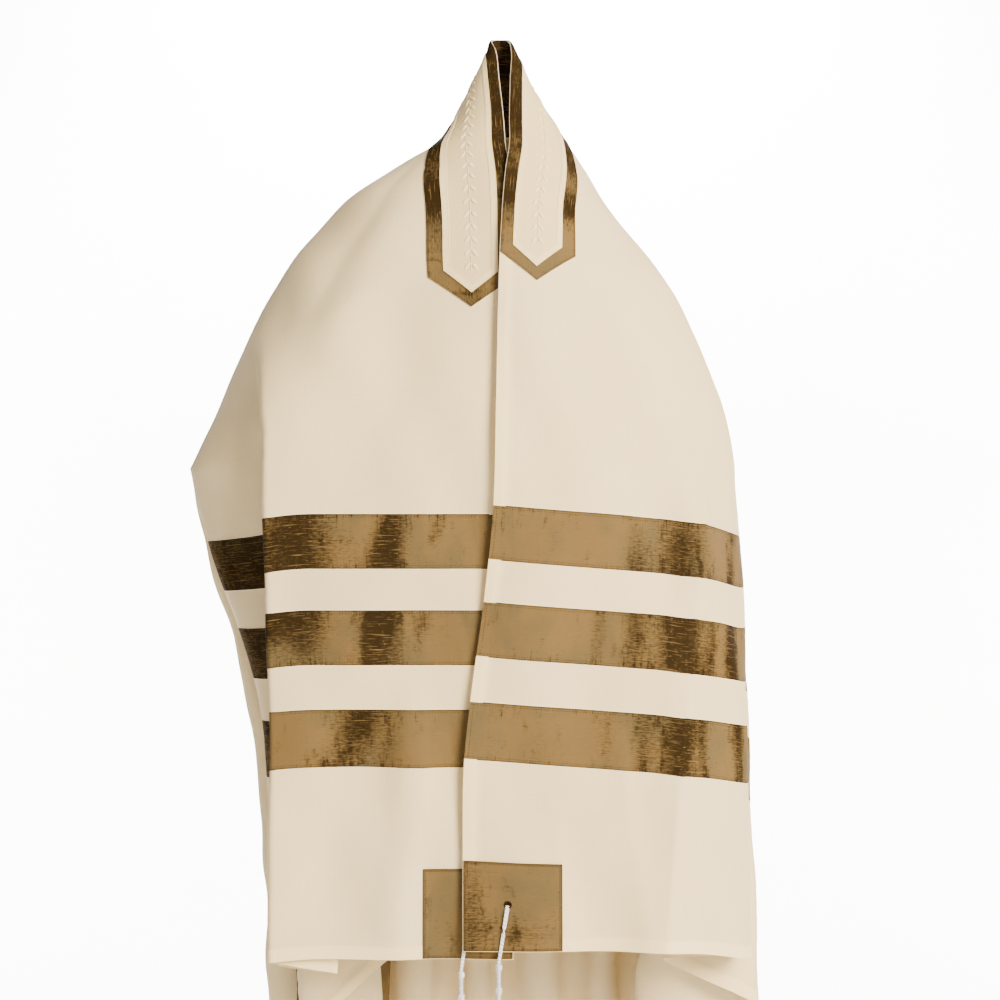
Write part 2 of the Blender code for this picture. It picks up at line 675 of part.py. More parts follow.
def middle_lines():
    """Where the middle cloth's lines run, close together at the neck and at the collar's points."""
    edge = SILK_BANDS[0].start
    places = {-edge, edge}
    places.update(CLOTH_SHIFT + side * near for side in (-1, 1) for near in (0.006, 0.013, 0.021, 0.030, 0.043))
    places.add(CLOTH_SHIFT)
    for side, half in ((-1, LEFT_RIDGE), (1, RIGHT_RIDGE)):
        elbow = half[-1].p
        count = 20
        places.update(CLOTH_SHIFT + side * (0.058 + (elbow - 0.058) * step / count) for step in range(count + 1))
        places.update(CLOTH_SHIFT + side * (elbow + (edge - elbow) * part) for part in (0.18, 0.42, 0.70))
    tips = [COLLAR_SHIFT + side * far for side in (-1, 1) for far in (
        COLLAR_HALF_LENGTH, COLLAR_HALF_LENGTH + COLLAR_TIP, INLAY_HALF_LENGTH, INLAY_HALF_LENGTH + INLAY_TIP)]
    tips.extend((-FACING_HALF_LENGTH, FACING_HALF_LENGTH))
    places = {place for place in places if min(abs(place - tip) for tip in tips) > 0.0055}
    return sorted(places | set(tips))


def even_steps(start, end, count):
    """Places from start to end in equal steps."""
    return [start + (end - start) * step / count for step in range(count + 1)]


def end_pieces():
    """The strips sewn together at each end, from the middle outwards: name and line places."""
    pieces = []
    for index, band in enumerate(SILK_BANDS):
        pieces.append(("silk_stripe_%d" % (index + 1), even_steps(band.start, band.end, 1)))
        if index + 1 < len(SILK_BANDS):
            following = SILK_BANDS[index + 1].start
            pieces.append(("ivory_band_%d" % (index + 1), even_steps(band.end, following, 1)))
    hem = CLOTH_HALF_LENGTH
    eyelet = hem - EYELET_FROM_END
    places = even_steps(SILK_BANDS[-1].end, hem - PATCH_SIZE, 3)
    places.extend((eyelet, 0.5 * (eyelet + hem), hem - PATCH_INSET, hem))
    pieces.append(("end_panel", places))
    return pieces


def build_middle(pattern, materials, collection):
    """The middle cloth with the collar band, its inlay and the silk that faces the neck inside."""
    edge = SILK_BANDS[0].start - 0.5 * SEAM_GAP
    places = middle_lines()
    lines = pattern.piece(places, [max(-edge, min(edge, s)) for s in places])
    walled_sheet("centre_cloth", lines, WOOL_WALL, materials["ivory"], collection)
    lift = 0.5 * WOOL_WALL + LAYER_GAP + 0.5 * SILK_WALL
    band = covered(places, lines, band_span, lift)
    walled_sheet("collar_band", band, SILK_WALL, materials["silk"], collection)
    inlay = covered(places, lines, inlay_span, lift + SILK_WALL + LAYER_GAP)
    walled_sheet("collar_inlay", inlay, SILK_WALL, materials["ivory"], collection)
    facing = covered(places, lines, facing_span, -lift)
    walled_sheet("neck_facing", facing, SILK_WALL, materials["dark_silk"], collection)


def build_ends(pattern, materials, collection):
    """The silk bands, the ivory bands between them and the end panels of both ends."""
    half_gap = 0.5 * SEAM_GAP
    for side, word in ((-1, "left"), (1, "right")):
        for name, places in end_pieces():
            actual = list(places)
            actual[0] += half_gap
            if name != "end_panel":
                actual[-1] -= half_gap
            lines = pattern.piece([side * place for place in places], [side * place for place in actual])
            if side < 0:
                lines.reverse()
            finish = materials["silk"] if name.startswith("silk") else materials["ivory"]
            walled_sheet("%s_%s" % (name, word), lines, WOOL_WALL, finish, collection)
            if name == "end_panel":
                signed = [side * place for place in places]
                if side < 0:
                    signed.reverse()
                build_patches(side, signed, lines, materials, collection)


def patch_span(s, at_front):
    """The corner patch's width at s, at the front edge or at the back one."""
    if not CLOTH_HALF_LENGTH - PATCH_SIZE - 1e-6 < abs(s) < CLOTH_HALF_LENGTH - 0.5 * PATCH_INSET:
        return None
    return (PATCH_INSET, PATCH_SIZE) if at_front else (CLOTH_WIDTH - PATCH_SIZE, CLOTH_WIDTH - PATCH_INSET)


def build_patches(side, places, lines, materials, collection):
    """The two corner patches of one end, each lying on the end panel's own points."""
    lift = 0.5 * WOOL_WALL + LAYER_GAP + 0.5 * SILK_WALL
    for corner in CORNERS:
        if corner.side == side:
            at_front = corner.eyelet_q < 0.5 * CLOTH_WIDTH
            patch = covered(places, lines, lambda s, front=at_front: patch_span(s, front), lift)
            walled_sheet("patch_" + corner.name, patch, SILK_WALL, materials["silk"], collection)


def hanging_point(lines, place_of_line, s, q):
    """The place and the direction out of the cloth at flat point (s, q), on the lines as they are cut."""
    found = []
    for place, (line_q, points, ways) in zip(place_of_line, lines):
        point = [np.interp(q, line_q, points[:, axis]) for axis in range(3)]
        way = [np.interp(q, line_q, ways[:, axis]) for axis in range(3)]
        found.append((place, point, way))
    found.sort(key=lambda row: row[0])
    places = [row[0] for row in found]
    point = [np.interp(s, places, [row[1][axis] for row in found]) for axis in range(3)]
    way = [np.interp(s, places, [row[2][axis] for row in found]) for axis in range(3)]
    return Vector(point), Vector(way).normalized()


def eyelet_frame(pattern, corner):
    """The eyelet's middle, where its cords pass the edge, the way down the cloth and the way out of it."""
    places = [corner.side * place for place in end_pieces()[-1][1]]
    lines = pattern.piece(places, places)
    middle, out = hanging_point(lines, places, corner.side * corner.eyelet_s, corner.eyelet_q)
    exit_point, _ = hanging_point(lines, places, corner.side * corner.exit_s, corner.exit_q)
    down = (exit_point - middle).normalized()
    out = (out - down * out.dot(down)).normalized()
    return middle, exit_point, down, out


def cut_eyelet(corner, middle, out, parts, cutters):
    """Cut the round eyelet through the end panel and its patch."""
    shape = bmesh.new()
    bmesh.ops.create_cone(shape, cap_ends=True, segments=EYELET_SIDES, radius1=EYELET_RADIUS,
                          radius2=EYELET_RADIUS, depth=0.012)
    turn = out.to_track_quat("Z", "Y").to_matrix().to_4x4() @ Matrix.Rotation(EYELET_TURN, 4, "Z")
    bmesh.ops.transform(shape, matrix=Matrix.Translation(middle) @ turn, verts=shape.verts)
    cutter = helper_object("eyelet_cutter_" + corner.name, shape, cutters)
    word = "left" if corner.side < 0 else "right"
    for name in ("end_panel_" + word, "patch_" + corner.name):
        use_boolean(parts.objects[name], "DIFFERENCE", cutter)


def helper_object(name, shape, collection):
    """A hidden object that another one is cut with or joined to."""
    mesh = bpy.data.meshes.new(name)
    shape.to_mesh(mesh)
    shape.free()
    helper = bpy.data.objects.new(name, mesh)
    helper.display_type = "WIRE"
    helper.hide_render = True
    collection.objects.link(helper)
    return helper


def use_boolean(target, operation, other):
    """Cut or join an object with another, exactly."""
    modifier = target.modifiers.new(operation.lower() + "_" + other.name, "BOOLEAN")
    modifier.operation = operation
    modifier.solver = "EXACT"
    modifier.object = other


def tubes(name, routes, radius, collection):
    """A hidden mesh of closed tubes along straight runs of points."""
    curve = bpy.data.curves.new(name, "CURVE")
    curve.dimensions = "3D"
    curve.bevel_depth = radius
    curve.bevel_resolution = 0
    curve.use_fill_caps = True
    for route in routes:
        spline = curve.splines.new("POLY")
        spline.points.add(len(route) - 1)
        for point, place in zip(spline.points, route):
            point.co = (place[0], place[1], place[2], 1.0)
    maker = bpy.data.objects.new(name, curve)
    collection.objects.link(maker)
    made = bpy.data.meshes.new_from_object(maker.evaluated_get(bpy.context.evaluated_depsgraph_get()))
    bpy.data.objects.remove(maker, do_unlink=True)
    shape = bmesh.new()
    shape.from_mesh(made)
    bpy.data.meshes.remove(made)
    bmesh.ops.remove_doubles(shape, verts=shape.verts, dist=1e-6)
    bmesh.ops.recalc_face_normals(shape, faces=shape.faces)
    return helper_object(name, shape, collection)


def stem_profile():
    """The wound and knotted stem: radius and depth below its top."""
    profile = [(0.0, 0.0), (WINDING_RADIUS, 0.0)]
    for knot in range(KNOT_COUNT):
        centre = 0.5 * KNOT_HEIGHT + 0.001 + KNOT_SPACING * knot
        profile.extend(((WINDING_RADIUS, centre - 0.45 * KNOT_HEIGHT), (KNOT_RADIUS, centre - 0.15 * KNOT_HEIGHT),
                        (KNOT_RADIUS, centre + 0.15 * KNOT_HEIGHT), (WINDING_RADIUS, centre + 0.45 * KNOT_HEIGHT)))
    profile.append((0.0, profile[-1][1]))
    return profile


def build_fringe(corner, frame, material, parts, helpers):
    """One corner's knotted fringe: a cord looped through the eyelet, a knotted stem and loose strands."""
    middle, exit_point, down, out = frame
    top = exit_point + down * KNOT_DROP
    seat = middle + down * CORD_STANDS_OFF
    loop = [top + down * 0.003 + out * CORDS_APART, exit_point + down * 0.001 + out * CORD_STANDS_OFF,
            seat + out * CORD_STANDS_OFF]
    for turn in range(1, CORD_TURNS):
        angle = math.pi * turn / CORD_TURNS
        loop.append(seat + (out * math.cos(angle) - down * math.sin(angle)) * CORD_STANDS_OFF)
    loop.extend((seat - out * CORD_STANDS_OFF, exit_point + down * 0.001 - out * CORD_STANDS_OFF,
                 top + down * 0.003 - out * CORDS_APART))
    profile = stem_profile()
    shape = bmesh.new()
    corners = [shape.verts.new((top.x + radius, top.y, top.z - depth)) for radius, depth in profile]
    edges = [shape.edges.new(pair) for pair in zip(corners[:-1], corners[1:])]
    bmesh.ops.spin(shape, geom=corners + edges, cent=top, axis=(0.0, 0.0, 1.0), angle=2.0 * math.pi,
                   steps=STEM_SIDES, use_merge=True)
    bmesh.ops.remove_doubles(shape, verts=shape.verts, dist=1e-6)
    bmesh.ops.recalc_face_normals(shape, faces=shape.faces)
    mesh = bpy.data.meshes.new("fringe_" + corner.name)
    shape.to_mesh(mesh)
    shape.free()
    fringe = bpy.data.objects.new("fringe_" + corner.name, mesh)
    parts.objects.link(fringe)
    mesh.materials.append(material)
    strands = []
    foot = top.z - profile[-1][1]
    for strand in range(STRAND_COUNT):
        angle = 2.0 * math.pi * (strand + 0.5) / STRAND_COUNT
        aside = Vector((math.cos(angle), math.sin(angle), 0.0))
        reach = STRAND_LENGTH * (0.94 + 0.06 * math.cos(3.0 * angle + corner.side))
        centre = Vector((top.x, top.y, foot))
        strands.append([centre + aside * STRAND_RING + Vector((0.0, 0.0, 0.004)),
                        centre + aside * STRAND_RING * 1.3 - Vector((0.0, 0.0, 0.010)),
                        centre + aside * STRAND_SPREAD - Vector((0.0, 0.0, reach))])
    use_boolean(fringe, "UNION", tubes("fringe_strands_" + corner.name, strands, STRAND_RADIUS, helpers))
    use_boolean(fringe, "UNION", tubes("fringe_loop_" + corner.name, [loop], CORD_RADIUS, helpers))


def build_corners(pattern, materials, parts, helpers):
    """The eyelets and fringes of the four corners."""
    for corner in CORNERS:
        frame = eyelet_frame(pattern, corner)
        cut_eyelet(corner, frame[0], frame[3], parts, helpers)
        build_fringe(corner, frame, materials["white"], parts, helpers)


def main():
    """Build the shawl."""
    clear_scene()
    materials = {
        "ivory": make_material("ivory_wool", IVORY, 0.85, 0.3),
        "silk": make_material("gold_brown_silk", SILK, 0.50, 0.2),
        "dark_silk": make_material("dark_brown_silk", DARK_SILK, 0.55, 0.2),
        "white": make_material("white_wool_cord", WHITE, 0.80, 0.1),
    }
    parts = new_collection("tallit")
    pattern = Pattern(Drape())
    build_middle(pattern, materials, parts)
    build_ends(pattern, materials, parts)
    helpers = new_collection("helpers")
    build_corners(pattern, materials, parts, helpers)
    helpers.hide_render = True


main()
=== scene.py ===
"""The looks of a fringed prayer shawl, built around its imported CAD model.

The flat cloth has the coordinates (s, q) in metres: s runs along the upper edge from the middle of the
cloth, left negative, and q runs down from that edge. The Drape class bends it into the form in which it
hangs, held at the neck, and every piece of the shawl is laid on that form.
"""

from __future__ import annotations

import logging
import math
from collections.abc import Callable, Sequence
from dataclasses import dataclass, field
from enum import Enum
from typing import NamedTuple

import bpy
import numpy as np
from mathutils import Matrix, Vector


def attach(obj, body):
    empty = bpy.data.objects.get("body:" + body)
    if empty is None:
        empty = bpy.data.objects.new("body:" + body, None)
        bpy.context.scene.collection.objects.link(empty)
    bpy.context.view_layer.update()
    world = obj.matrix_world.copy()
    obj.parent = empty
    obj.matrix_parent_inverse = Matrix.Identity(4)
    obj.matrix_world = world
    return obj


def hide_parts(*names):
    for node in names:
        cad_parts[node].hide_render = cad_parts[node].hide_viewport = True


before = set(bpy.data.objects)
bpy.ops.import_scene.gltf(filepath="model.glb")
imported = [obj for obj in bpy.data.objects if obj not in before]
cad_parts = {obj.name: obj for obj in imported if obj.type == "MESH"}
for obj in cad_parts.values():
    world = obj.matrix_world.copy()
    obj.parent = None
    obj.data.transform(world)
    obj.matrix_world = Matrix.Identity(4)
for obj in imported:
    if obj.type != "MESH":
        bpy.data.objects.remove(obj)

LOG = logging.getLogger("shawl")
Array = np.ndarray
Triple = tuple[float, float, float]
Outline = list[tuple[float, float]]
Thing = bpy.types.Object
Material = bpy.types.Material
Socket = bpy.types.NodeSocket

CLOTH_HALF_LENGTH = 1.025
CLOTH_WIDTH = 1.150
CLOTH_SHIFT = 0.005


class Side(Enum):
    """The shawl's two halves, as they lie in the picture."""

    LEFT = -1
    RIGHT = 1

    @property
    def word(self) -> str:
        """The side's name in the names of pieces."""
        return self.name.lower()


class Band(NamedTuple):
    """Where a silk band starts and ends along the cloth."""

    start: float
    end: float


SILK_BANDS = (Band(0.559, 0.615), Band(0.660, 0.716), Band(0.764, 0.823))


class Edge(NamedTuple):
    """A row of the front edges: how far along, its place, and the two sides' sideways places."""

    along: float
    y: float
    z: float
    left_x: float
    right_x: float
    right_lift: float


FRONT_EDGE = (
    Edge(0.000, 0.010, 0.000, 0.000, 0.000, 0.000),
    Edge(0.014, 0.003, -0.003, -0.009, 0.009, 0.000),
    Edge(0.030, -0.010, -0.015, -0.005, 0.012, 0.000),
    Edge(0.070, -0.029, -0.050, -0.001, 0.011, 0.001),
    Edge(0.127, -0.057, -0.100, 0.004, 0.010, 0.002),
    Edge(0.160, -0.072, -0.129, 0.006, 0.010, 0.006),
    Edge(0.192, -0.086, -0.157, 0.010, 0.006, 0.009),
    Edge(0.262, -0.108, -0.225, 0.012, 0.001, 0.010),
    Edge(0.342, -0.117, -0.303, 0.011, -0.002, 0.010),
    Edge(0.439, -0.120, -0.400, 0.007, -0.004, 0.010),
    Edge(0.570, -0.120, -0.531, 0.003, -0.008, 0.010),
    Edge(0.655, -0.120, -0.616, 0.006, -0.017, 0.010),
    Edge(0.758, -0.120, -0.719, 0.010, -0.031, 0.010),
    Edge(0.815, -0.120, -0.776, 0.012, -0.037, 0.010),
    Edge(0.930, -0.120, -0.891, 0.014, -0.039, 0.010),
    Edge(1.035, -0.120, -0.996, 0.014, -0.039, 0.010),
)


class Spine(NamedTuple):
    """A row of the back's middle line: down the cloth, and its place."""

    down: float
    y: float
    z: float


BACK_LINE = (
    Spine(0.000, 0.010, 0.000),
    Spine(0.016, 0.014, -0.015),
    Spine(0.060, 0.033, -0.055),
    Spine(0.115, 0.060, -0.103),
    Spine(0.180, 0.088, -0.161),
    Spine(0.250, 0.112, -0.227),
    Spine(0.330, 0.132, -0.305),
    Spine(0.415, 0.145, -0.389),
    Spine(0.600, 0.156, -0.573),
    Spine(1.160, 0.162, -1.133),
)


class Ridge(NamedTuple):
    """A row of the shoulder ridge: its flat place (p, q) and its place, x outwards."""

    p: float
    q: float
    x: float
    y: float
    z: float


LEFT_RIDGE = (
    Ridge(0.000, 0.000, 0.000, 0.010, 0.000),
    Ridge(0.015, 0.015, 0.011, 0.005, -0.017),
    Ridge(0.105, 0.105, 0.077, 0.000, -0.124),
    Ridge(0.147, 0.140, 0.127, 0.000, -0.152),
    Ridge(0.191, 0.181, 0.176, 0.000, -0.185),
    Ridge(0.230, 0.218, 0.209, 0.000, -0.223),
    Ridge(0.273, 0.258, 0.243, 0.000, -0.267),
    Ridge(0.322, 0.296, 0.270, 0.000, -0.322),
    Ridge(0.352, 0.320, 0.287, 0.000, -0.356),
    Ridge(0.416, 0.362, 0.314, 0.000, -0.422),
    Ridge(0.480, 0.400, 0.342, 0.000, -0.475),
)
RIGHT_RIDGE = (
    Ridge(0.000, 0.000, 0.000, 0.010, 0.000),
    Ridge(0.015, 0.015, 0.011, 0.005, -0.017),
    Ridge(0.035, 0.035, 0.025, 0.003, -0.044),
    Ridge(0.118, 0.116, 0.089, 0.002, -0.140),
    Ridge(0.162, 0.152, 0.117, 0.002, -0.185),
    Ridge(0.212, 0.192, 0.156, 0.004, -0.234),
    Ridge(0.280, 0.238, 0.200, 0.008, -0.300),
    Ridge(0.345, 0.276, 0.233, 0.014, -0.367),
    Ridge(0.405, 0.304, 0.251, 0.020, -0.422),
    Ridge(0.452, 0.324, 0.259, 0.028, -0.462),
    Ridge(0.512, 0.345, 0.264, 0.035, -0.500),
)


class Fall(NamedTuple):
    """A row of the side below the elbow: how far below, and the plan of its front and back lines."""

    drop: float
    front_x: float
    front_y: float
    back_x: float
    back_y: float


LEFT_FALL = (
    Fall(0.000, 0.342, 0.000, 0.342, 0.000),
    Fall(0.085, 0.318, -0.010, 0.330, 0.026),
    Fall(0.175, 0.290, -0.022, 0.308, 0.048),
    Fall(0.265, 0.264, -0.032, 0.288, 0.062),
    Fall(0.400, 0.248, -0.040, 0.272, 0.072),
    Fall(0.600, 0.240, -0.043, 0.264, 0.078),
    Fall(1.000, 0.238, -0.044, 0.260, 0.080),
)
RIGHT_FALL = (
    Fall(0.000, 0.264, 0.035, 0.264, 0.035),
    Fall(0.050, 0.265, 0.010, 0.267, 0.050),
    Fall(0.175, 0.266, -0.022, 0.270, 0.068),
    Fall(0.300, 0.268, -0.036, 0.267, 0.078),
    Fall(0.500, 0.271, -0.046, 0.269, 0.086),
    Fall(1.000, 0.272, -0.050, 0.271, 0.090),
)


class Tuck(NamedTuple):
    """A row of the left front's tuck: along the front, its edge's place, its depth and its share."""

    along: float
    place: float
    depth: float
    share: float


LEFT_TUCK = (
    Tuck(0.000, 0.258, 0.001, 0.00),
    Tuck(0.350, 0.258, 0.001, 0.00),
    Tuck(0.420, 0.257, 0.003, 0.55),
    Tuck(0.480, 0.256, 0.007, 1.00),
    Tuck(0.565, 0.254, 0.020, 1.00),
    Tuck(0.700, 0.255, 0.043, 1.00),
    Tuck(0.880, 0.258, 0.057, 1.00),
    Tuck(1.035, 0.260, 0.059, 1.00),
)
TUCK_OUTWARD_WAY = math.radians(50.0)
TUCK_BEND = 0.018
TUCK_STRETCHES = 4


class Crease(NamedTuple):
    """A soft fold of the front: its run, its depth and width, and the side it is on."""

    side: Side
    top: float
    bottom: float
    q_top: float
    q_bottom: float
    depth: float
    width: float


CREASES = (
    Crease(Side.LEFT, 0.190, 0.420, 0.085, 0.190, 0.0050, 0.026),
    Crease(Side.LEFT, 0.250, 0.520, 0.060, 0.150, -0.0040, 0.030),
    Crease(Side.LEFT, 0.700, 1.060, 0.095, 0.132, 0.0060, 0.022),
    Crease(Side.LEFT, 0.760, 1.060, 0.175, 0.195, -0.0045, 0.030),
    Crease(Side.RIGHT, 0.460, 1.120, 0.236, 0.180, 0.0100, 0.030),
    Crease(Side.RIGHT, 0.300, 0.620, 0.120, 0.235, 0.0060, 0.030),
    Crease(Side.RIGHT, 0.640, 1.100, 0.110, 0.120, -0.0040, 0.034),
)
CREASE_FADE = 0.080


class Waves(NamedTuple):
    """Folds that spare width makes: how many, how uneven, their part of the row, their widest turn."""

    count: int
    unevenness: float
    part: float
    widest_turn: float


BACK_WAVES = {Side.LEFT: Waves(3, 0.040, 0.74, 1.50), Side.RIGHT: Waves(3, -0.035, 0.76, 1.50)}
SIDE_WAVES = {Side.LEFT: Waves(3, -0.035, 1.00, 1.88), Side.RIGHT: Waves(3, 0.030, 1.00, 1.88)}
DEEPEST_LOBE = 0.112
SIDE_FOLD_START = 0.020
SIDE_FOLD_FULL = 0.180
BACK_BOW = 1.12
WAVE_STEPS = 72
SLOPE_STEP = 0.0015
RIDGE_STEP = 0.004
HIGH_END = 0.62
LEFT_GATHER = 0.150
RIGHT_GATHER = 0.060
RIGHT_COLLAR_GATHER = 0.110
COLLAR_GATHER_START = 0.17
COLLAR_GATHER_RUN = 0.07
GATHER_END = 0.46
GATHER_FADE = 0.12
GATHER_DEPTH = 0.16
RIGHT_SAG = 0.085
SAG_WIDEST = 0.20
SAG_START = 0.28
SAG_RUN = 0.22
SAG_END = 1.02
SAG_FADE = 0.20
SAG_DEPTH = 0.46
SAG_DEPTH_FADE = 0.15
SHARP_ANGLE = math.radians(60.0)


def smooth_table(x: Array, rows: Array | Sequence[tuple[float, ...]]) -> Array:
    """Read a table between its rows, along smooth curves through them.

    Args:
        x: The places to read.
        rows: The rows, each with its own place first, rising.

    Returns:
        The other values of the table at each place.
    """
    table = np.asarray(rows, dtype=float)
    places, values = table[:, 0], table[:, 1:]
    steps = np.diff(places)
    slopes = np.diff(values, axis=0) / steps[:, None]
    weight = (steps[1:] / (steps[:-1] + steps[1:]))[:, None]
    tangents = np.concatenate((slopes[:1], slopes[:-1] * weight + slopes[1:] * (1.0 - weight), slopes[-1:]))
    x = np.clip(np.asarray(x, dtype=float), places[0], places[-1])
    row = np.clip(np.searchsorted(places, x, side="right") - 1, 0, len(places) - 2)
    step = steps[row][:, None]
    return hermite(values[row], step * tangents[row], values[row + 1], step * tangents[row + 1],
                   (x - places[row]) / steps[row])


def ease(x: Array | float) -> Array:
    """A ramp from 0 to 1 with level ends."""
    x = np.clip(x, 0.0, 1.0)
    return x * x * (3.0 - 2.0 * x)


def hermite(start: Array, start_way: Array, end: Array, end_way: Array, u: Array) -> Array:
    """The smooth curve between two points with given directions there.

    Args:
        start: Where it starts.
        start_way: Its direction and speed at the start.
        end: Where it ends.
        end_way: Its direction and speed at the end.
        u: How far along to read it, 0 to 1.

    Returns:
        A point for each u.
    """
    u = u[:, None]
    return ((2 * u ** 3 - 3 * u ** 2 + 1) * start + (u ** 3 - 2 * u ** 2 + u) * start_way
            + (3 * u ** 2 - 2 * u ** 3) * end + (u ** 3 - u ** 2) * end_way)


def unit(vectors: Array) -> Array:
    """Vectors of length one."""
    return vectors / np.maximum(np.linalg.norm(vectors, axis=1, keepdims=True), 1e-9)


def run_of_headings(t: Array, heading: Callable[[Array], Array], stretches: int = 1) -> tuple[Array, Array]:
    """How far a line has run ahead and sideways at the share t of its length, from its heading.

    Args:
        t: Shares of the line's length.
        heading: The line's angle at each share.
        stretches: How many times finer than usual to sum it.

    Returns:
        The run ahead and the run sideways.
    """
    middles = (np.arange(WAVE_STEPS * stretches) + 0.5) / (WAVE_STEPS * stretches)
    angles = heading(t[:, None] * middles[None, :])
    return t * np.cos(angles).mean(axis=1), t * np.sin(angles).mean(axis=1)


def folded_run(t: Array, share: Array, waves: Waves, fullness: Array) -> tuple[Array, Array]:
    """Where a line folded into waves has got to at the share t of its length.

    Args:
        t: Shares of the line's flat length.
        share: Each line's straight width over its flat length.
        waves: The folds.
        fullness: How much of the widest turn each line may take.

    Returns:
        Ahead, from 0 to 1, and sideways as a share of the flat length.
    """
    waved = np.clip((share - (1.0 - waves.part)) / waves.part, 0.0, 1.0)
    turn = np.minimum(2.0 * np.sqrt(2.0 * (1.0 - np.sqrt(waved))), waves.widest_turn * fullness)

    def heading(place: Array) -> Array:
        """A wave of the turn, and straight on past the last wave."""
        run = np.minimum(place / waves.part, 1.0)
        uneven = run + waves.unevenness * np.sin(2.0 * math.pi * run)
        return turn[:, None] * np.sin(2.0 * math.pi * waves.count * uneven)

    ahead, aside = run_of_headings(t, heading)
    all_ahead, all_aside = run_of_headings(np.ones_like(t), heading)
    return ahead / all_ahead, aside - np.minimum(t / waves.part, 1.0) * all_aside


class HalfDrape:
    """One half of the hanging cloth."""

    def __init__(self, side: Side, ridge: Sequence[Ridge], fall: Sequence[Fall]) -> None:
        """Keep one side's ridge and fall.

        Args:
            side: Which half it is.
            ridge: The shoulder ridge's rows.
            fall: The rows below the elbow.
        """
        sign = side.value
        self.side = side
        self.ridge = np.array(ridge) * (1.0, 1.0, sign, 1.0, 1.0)
        self.fall = np.array(fall) * (1.0, sign, 1.0, sign, 1.0)
        self.elbow_p, self.elbow_q = self.ridge[-1, :2]
        self.elbow = self.ridge[-1, 2:]
        self.dense_p = np.linspace(0.0, self.elbow_p, 400)
        self.dense_q = smooth_table(self.dense_p, self.ridge)[:, 0]

    def ridge_q(self, p: Array) -> Array:
        """How far down the cloth the ridge, or the elbow past it, lies at p."""
        return np.where(p < self.elbow_p, np.interp(p, self.dense_p, self.dense_q), self.elbow_q)

    def ridge_point(self, p: Array) -> tuple[Array, Array]:
        """The ridge's place at p, and its direction."""
        here, before, after = (smooth_table(p + step, self.ridge)[:, 1:]
                               for step in (0.0, -RIDGE_STEP, RIDGE_STEP))
        return here, unit(after - before)

    @staticmethod
    def high(share: Array) -> Array:
        """One well above the elbow, and down to nothing at it."""
        return 1.0 - ease((share - HIGH_END) / (1.0 - HIGH_END))

    def fall_point(self, drop: Array, back: bool) -> Array:
        """A place on the side's front line, or its back line, at a flat distance below the elbow."""
        plan = smooth_table(drop, self.fall)
        return self.hang(plan[:, 2:4] if back else plan[:, 0:2], drop)

    def hang(self, plan: Array, drop: Array) -> Array:
        """Put plan points at the height where a straight thread from the elbow reaches them."""
        reach = np.linalg.norm(plan - self.elbow[:2], axis=1)
        height = self.elbow[2] - np.sqrt(np.maximum(drop ** 2 - reach ** 2, 0.0))
        return np.column_stack((plan, height))

    def place(self, p: Array, q: Array) -> Array:
        """Bend flat points of this half into the hanging form.

        Args:
            p: How far each point is from the cloth's middle.
            q: How far down the cloth each is.

        Returns:
            The points' places.
        """
        front = q <= self.ridge_q(p)
        side = (p > self.elbow_p) & ~front
        back = ~front & ~side
        points = np.zeros((len(p), 3))
        for mask, region in ((front, self.front_place), (side, self.side_place), (back, self.back_place)):
            if mask.any():
                points[mask] = region(p[mask], q[mask])
        return points

    def front_place(self, p: Array, q: Array) -> Array:
        """The front: rows from the front edge to the ridge, or to the side's front line."""
        right = self.side is Side.RIGHT
        start = smooth_table(p, [(row.along, row.right_x, row.y - row.right_lift, row.z) if right
                                 else (row.along, row.left_x, row.y, row.z) for row in FRONT_EDGE])
        above = p < self.elbow_p
        ridge_end, ridge_way = self.ridge_point(np.minimum(p, self.elbow_p))
        low_end = self.fall_point(np.maximum(p - self.elbow_p, 0.0), back=False)
        end = np.where(above[:, None], ridge_end, low_end)
        width = self.ridge_q(p)
        t = np.divide(q, width, out=np.zeros_like(q), where=width > 1e-6)
        high = self.high(p / self.elbow_p)
        span = np.linalg.norm(end - start, axis=1, keepdims=True)
        outward = np.tile((float(self.side.value), 0.0, 0.0), (len(p), 1))
        backward = np.tile((0.0, 1.0, 0.0), (len(p), 1))
        base = hermite(start, outward * span, end, unit(ridge_way * high[:, None] + backward) * span, t)
        if not right:
            folded, tucked = self.tucked_row(p, t, width, start, end)
            base[:, :2] += (folded - base[:, :2]) * tucked[:, None]
        late = start[:, 2] + (end[:, 2] - start[:, 2]) * ease((t - 0.50) / 0.50)
        base[:, 2] = base[:, 2] * high + late * (1.0 - high)
        base[:, 1] -= self.crease_height(p, t * width, width)
        return base

    def tucked_row(self, p: Array, t: Array, width: Array, start: Array, end: Array) -> tuple[Array, Array]:
        """The plan of a row with the tuck in it, and how much of it counts.

        Args:
            p: How far along the front edge each point's row is.
            t: How far along its row each point is.
            width: The rows' flat widths.
            start: Where the rows start.
            end: Where they end.

        Returns:
            The points' plan places, and the share of them to take.
        """
        tuck = smooth_table(p, LEFT_TUCK)
        scale = 1.0 / np.maximum(width, 0.1)
        bend = TUCK_BEND * scale
        first = tuck[:, 0] * scale
        second = first + bend + tuck[:, 1] * scale

        def heading(place: Array) -> Array:
            """Along the front, half a turn back under it, out again and round to the side."""
            into = ease((place - first[:, None]) / bend[:, None] + 0.5)
            out = ease((place - second[:, None]) / bend[:, None] + 0.5)
            last = ease((place - 0.90) / 0.20)
            return (math.pi * into + (TUCK_OUTWARD_WAY - math.pi) * out
                    + (0.5 * math.pi - TUCK_OUTWARD_WAY) * last)

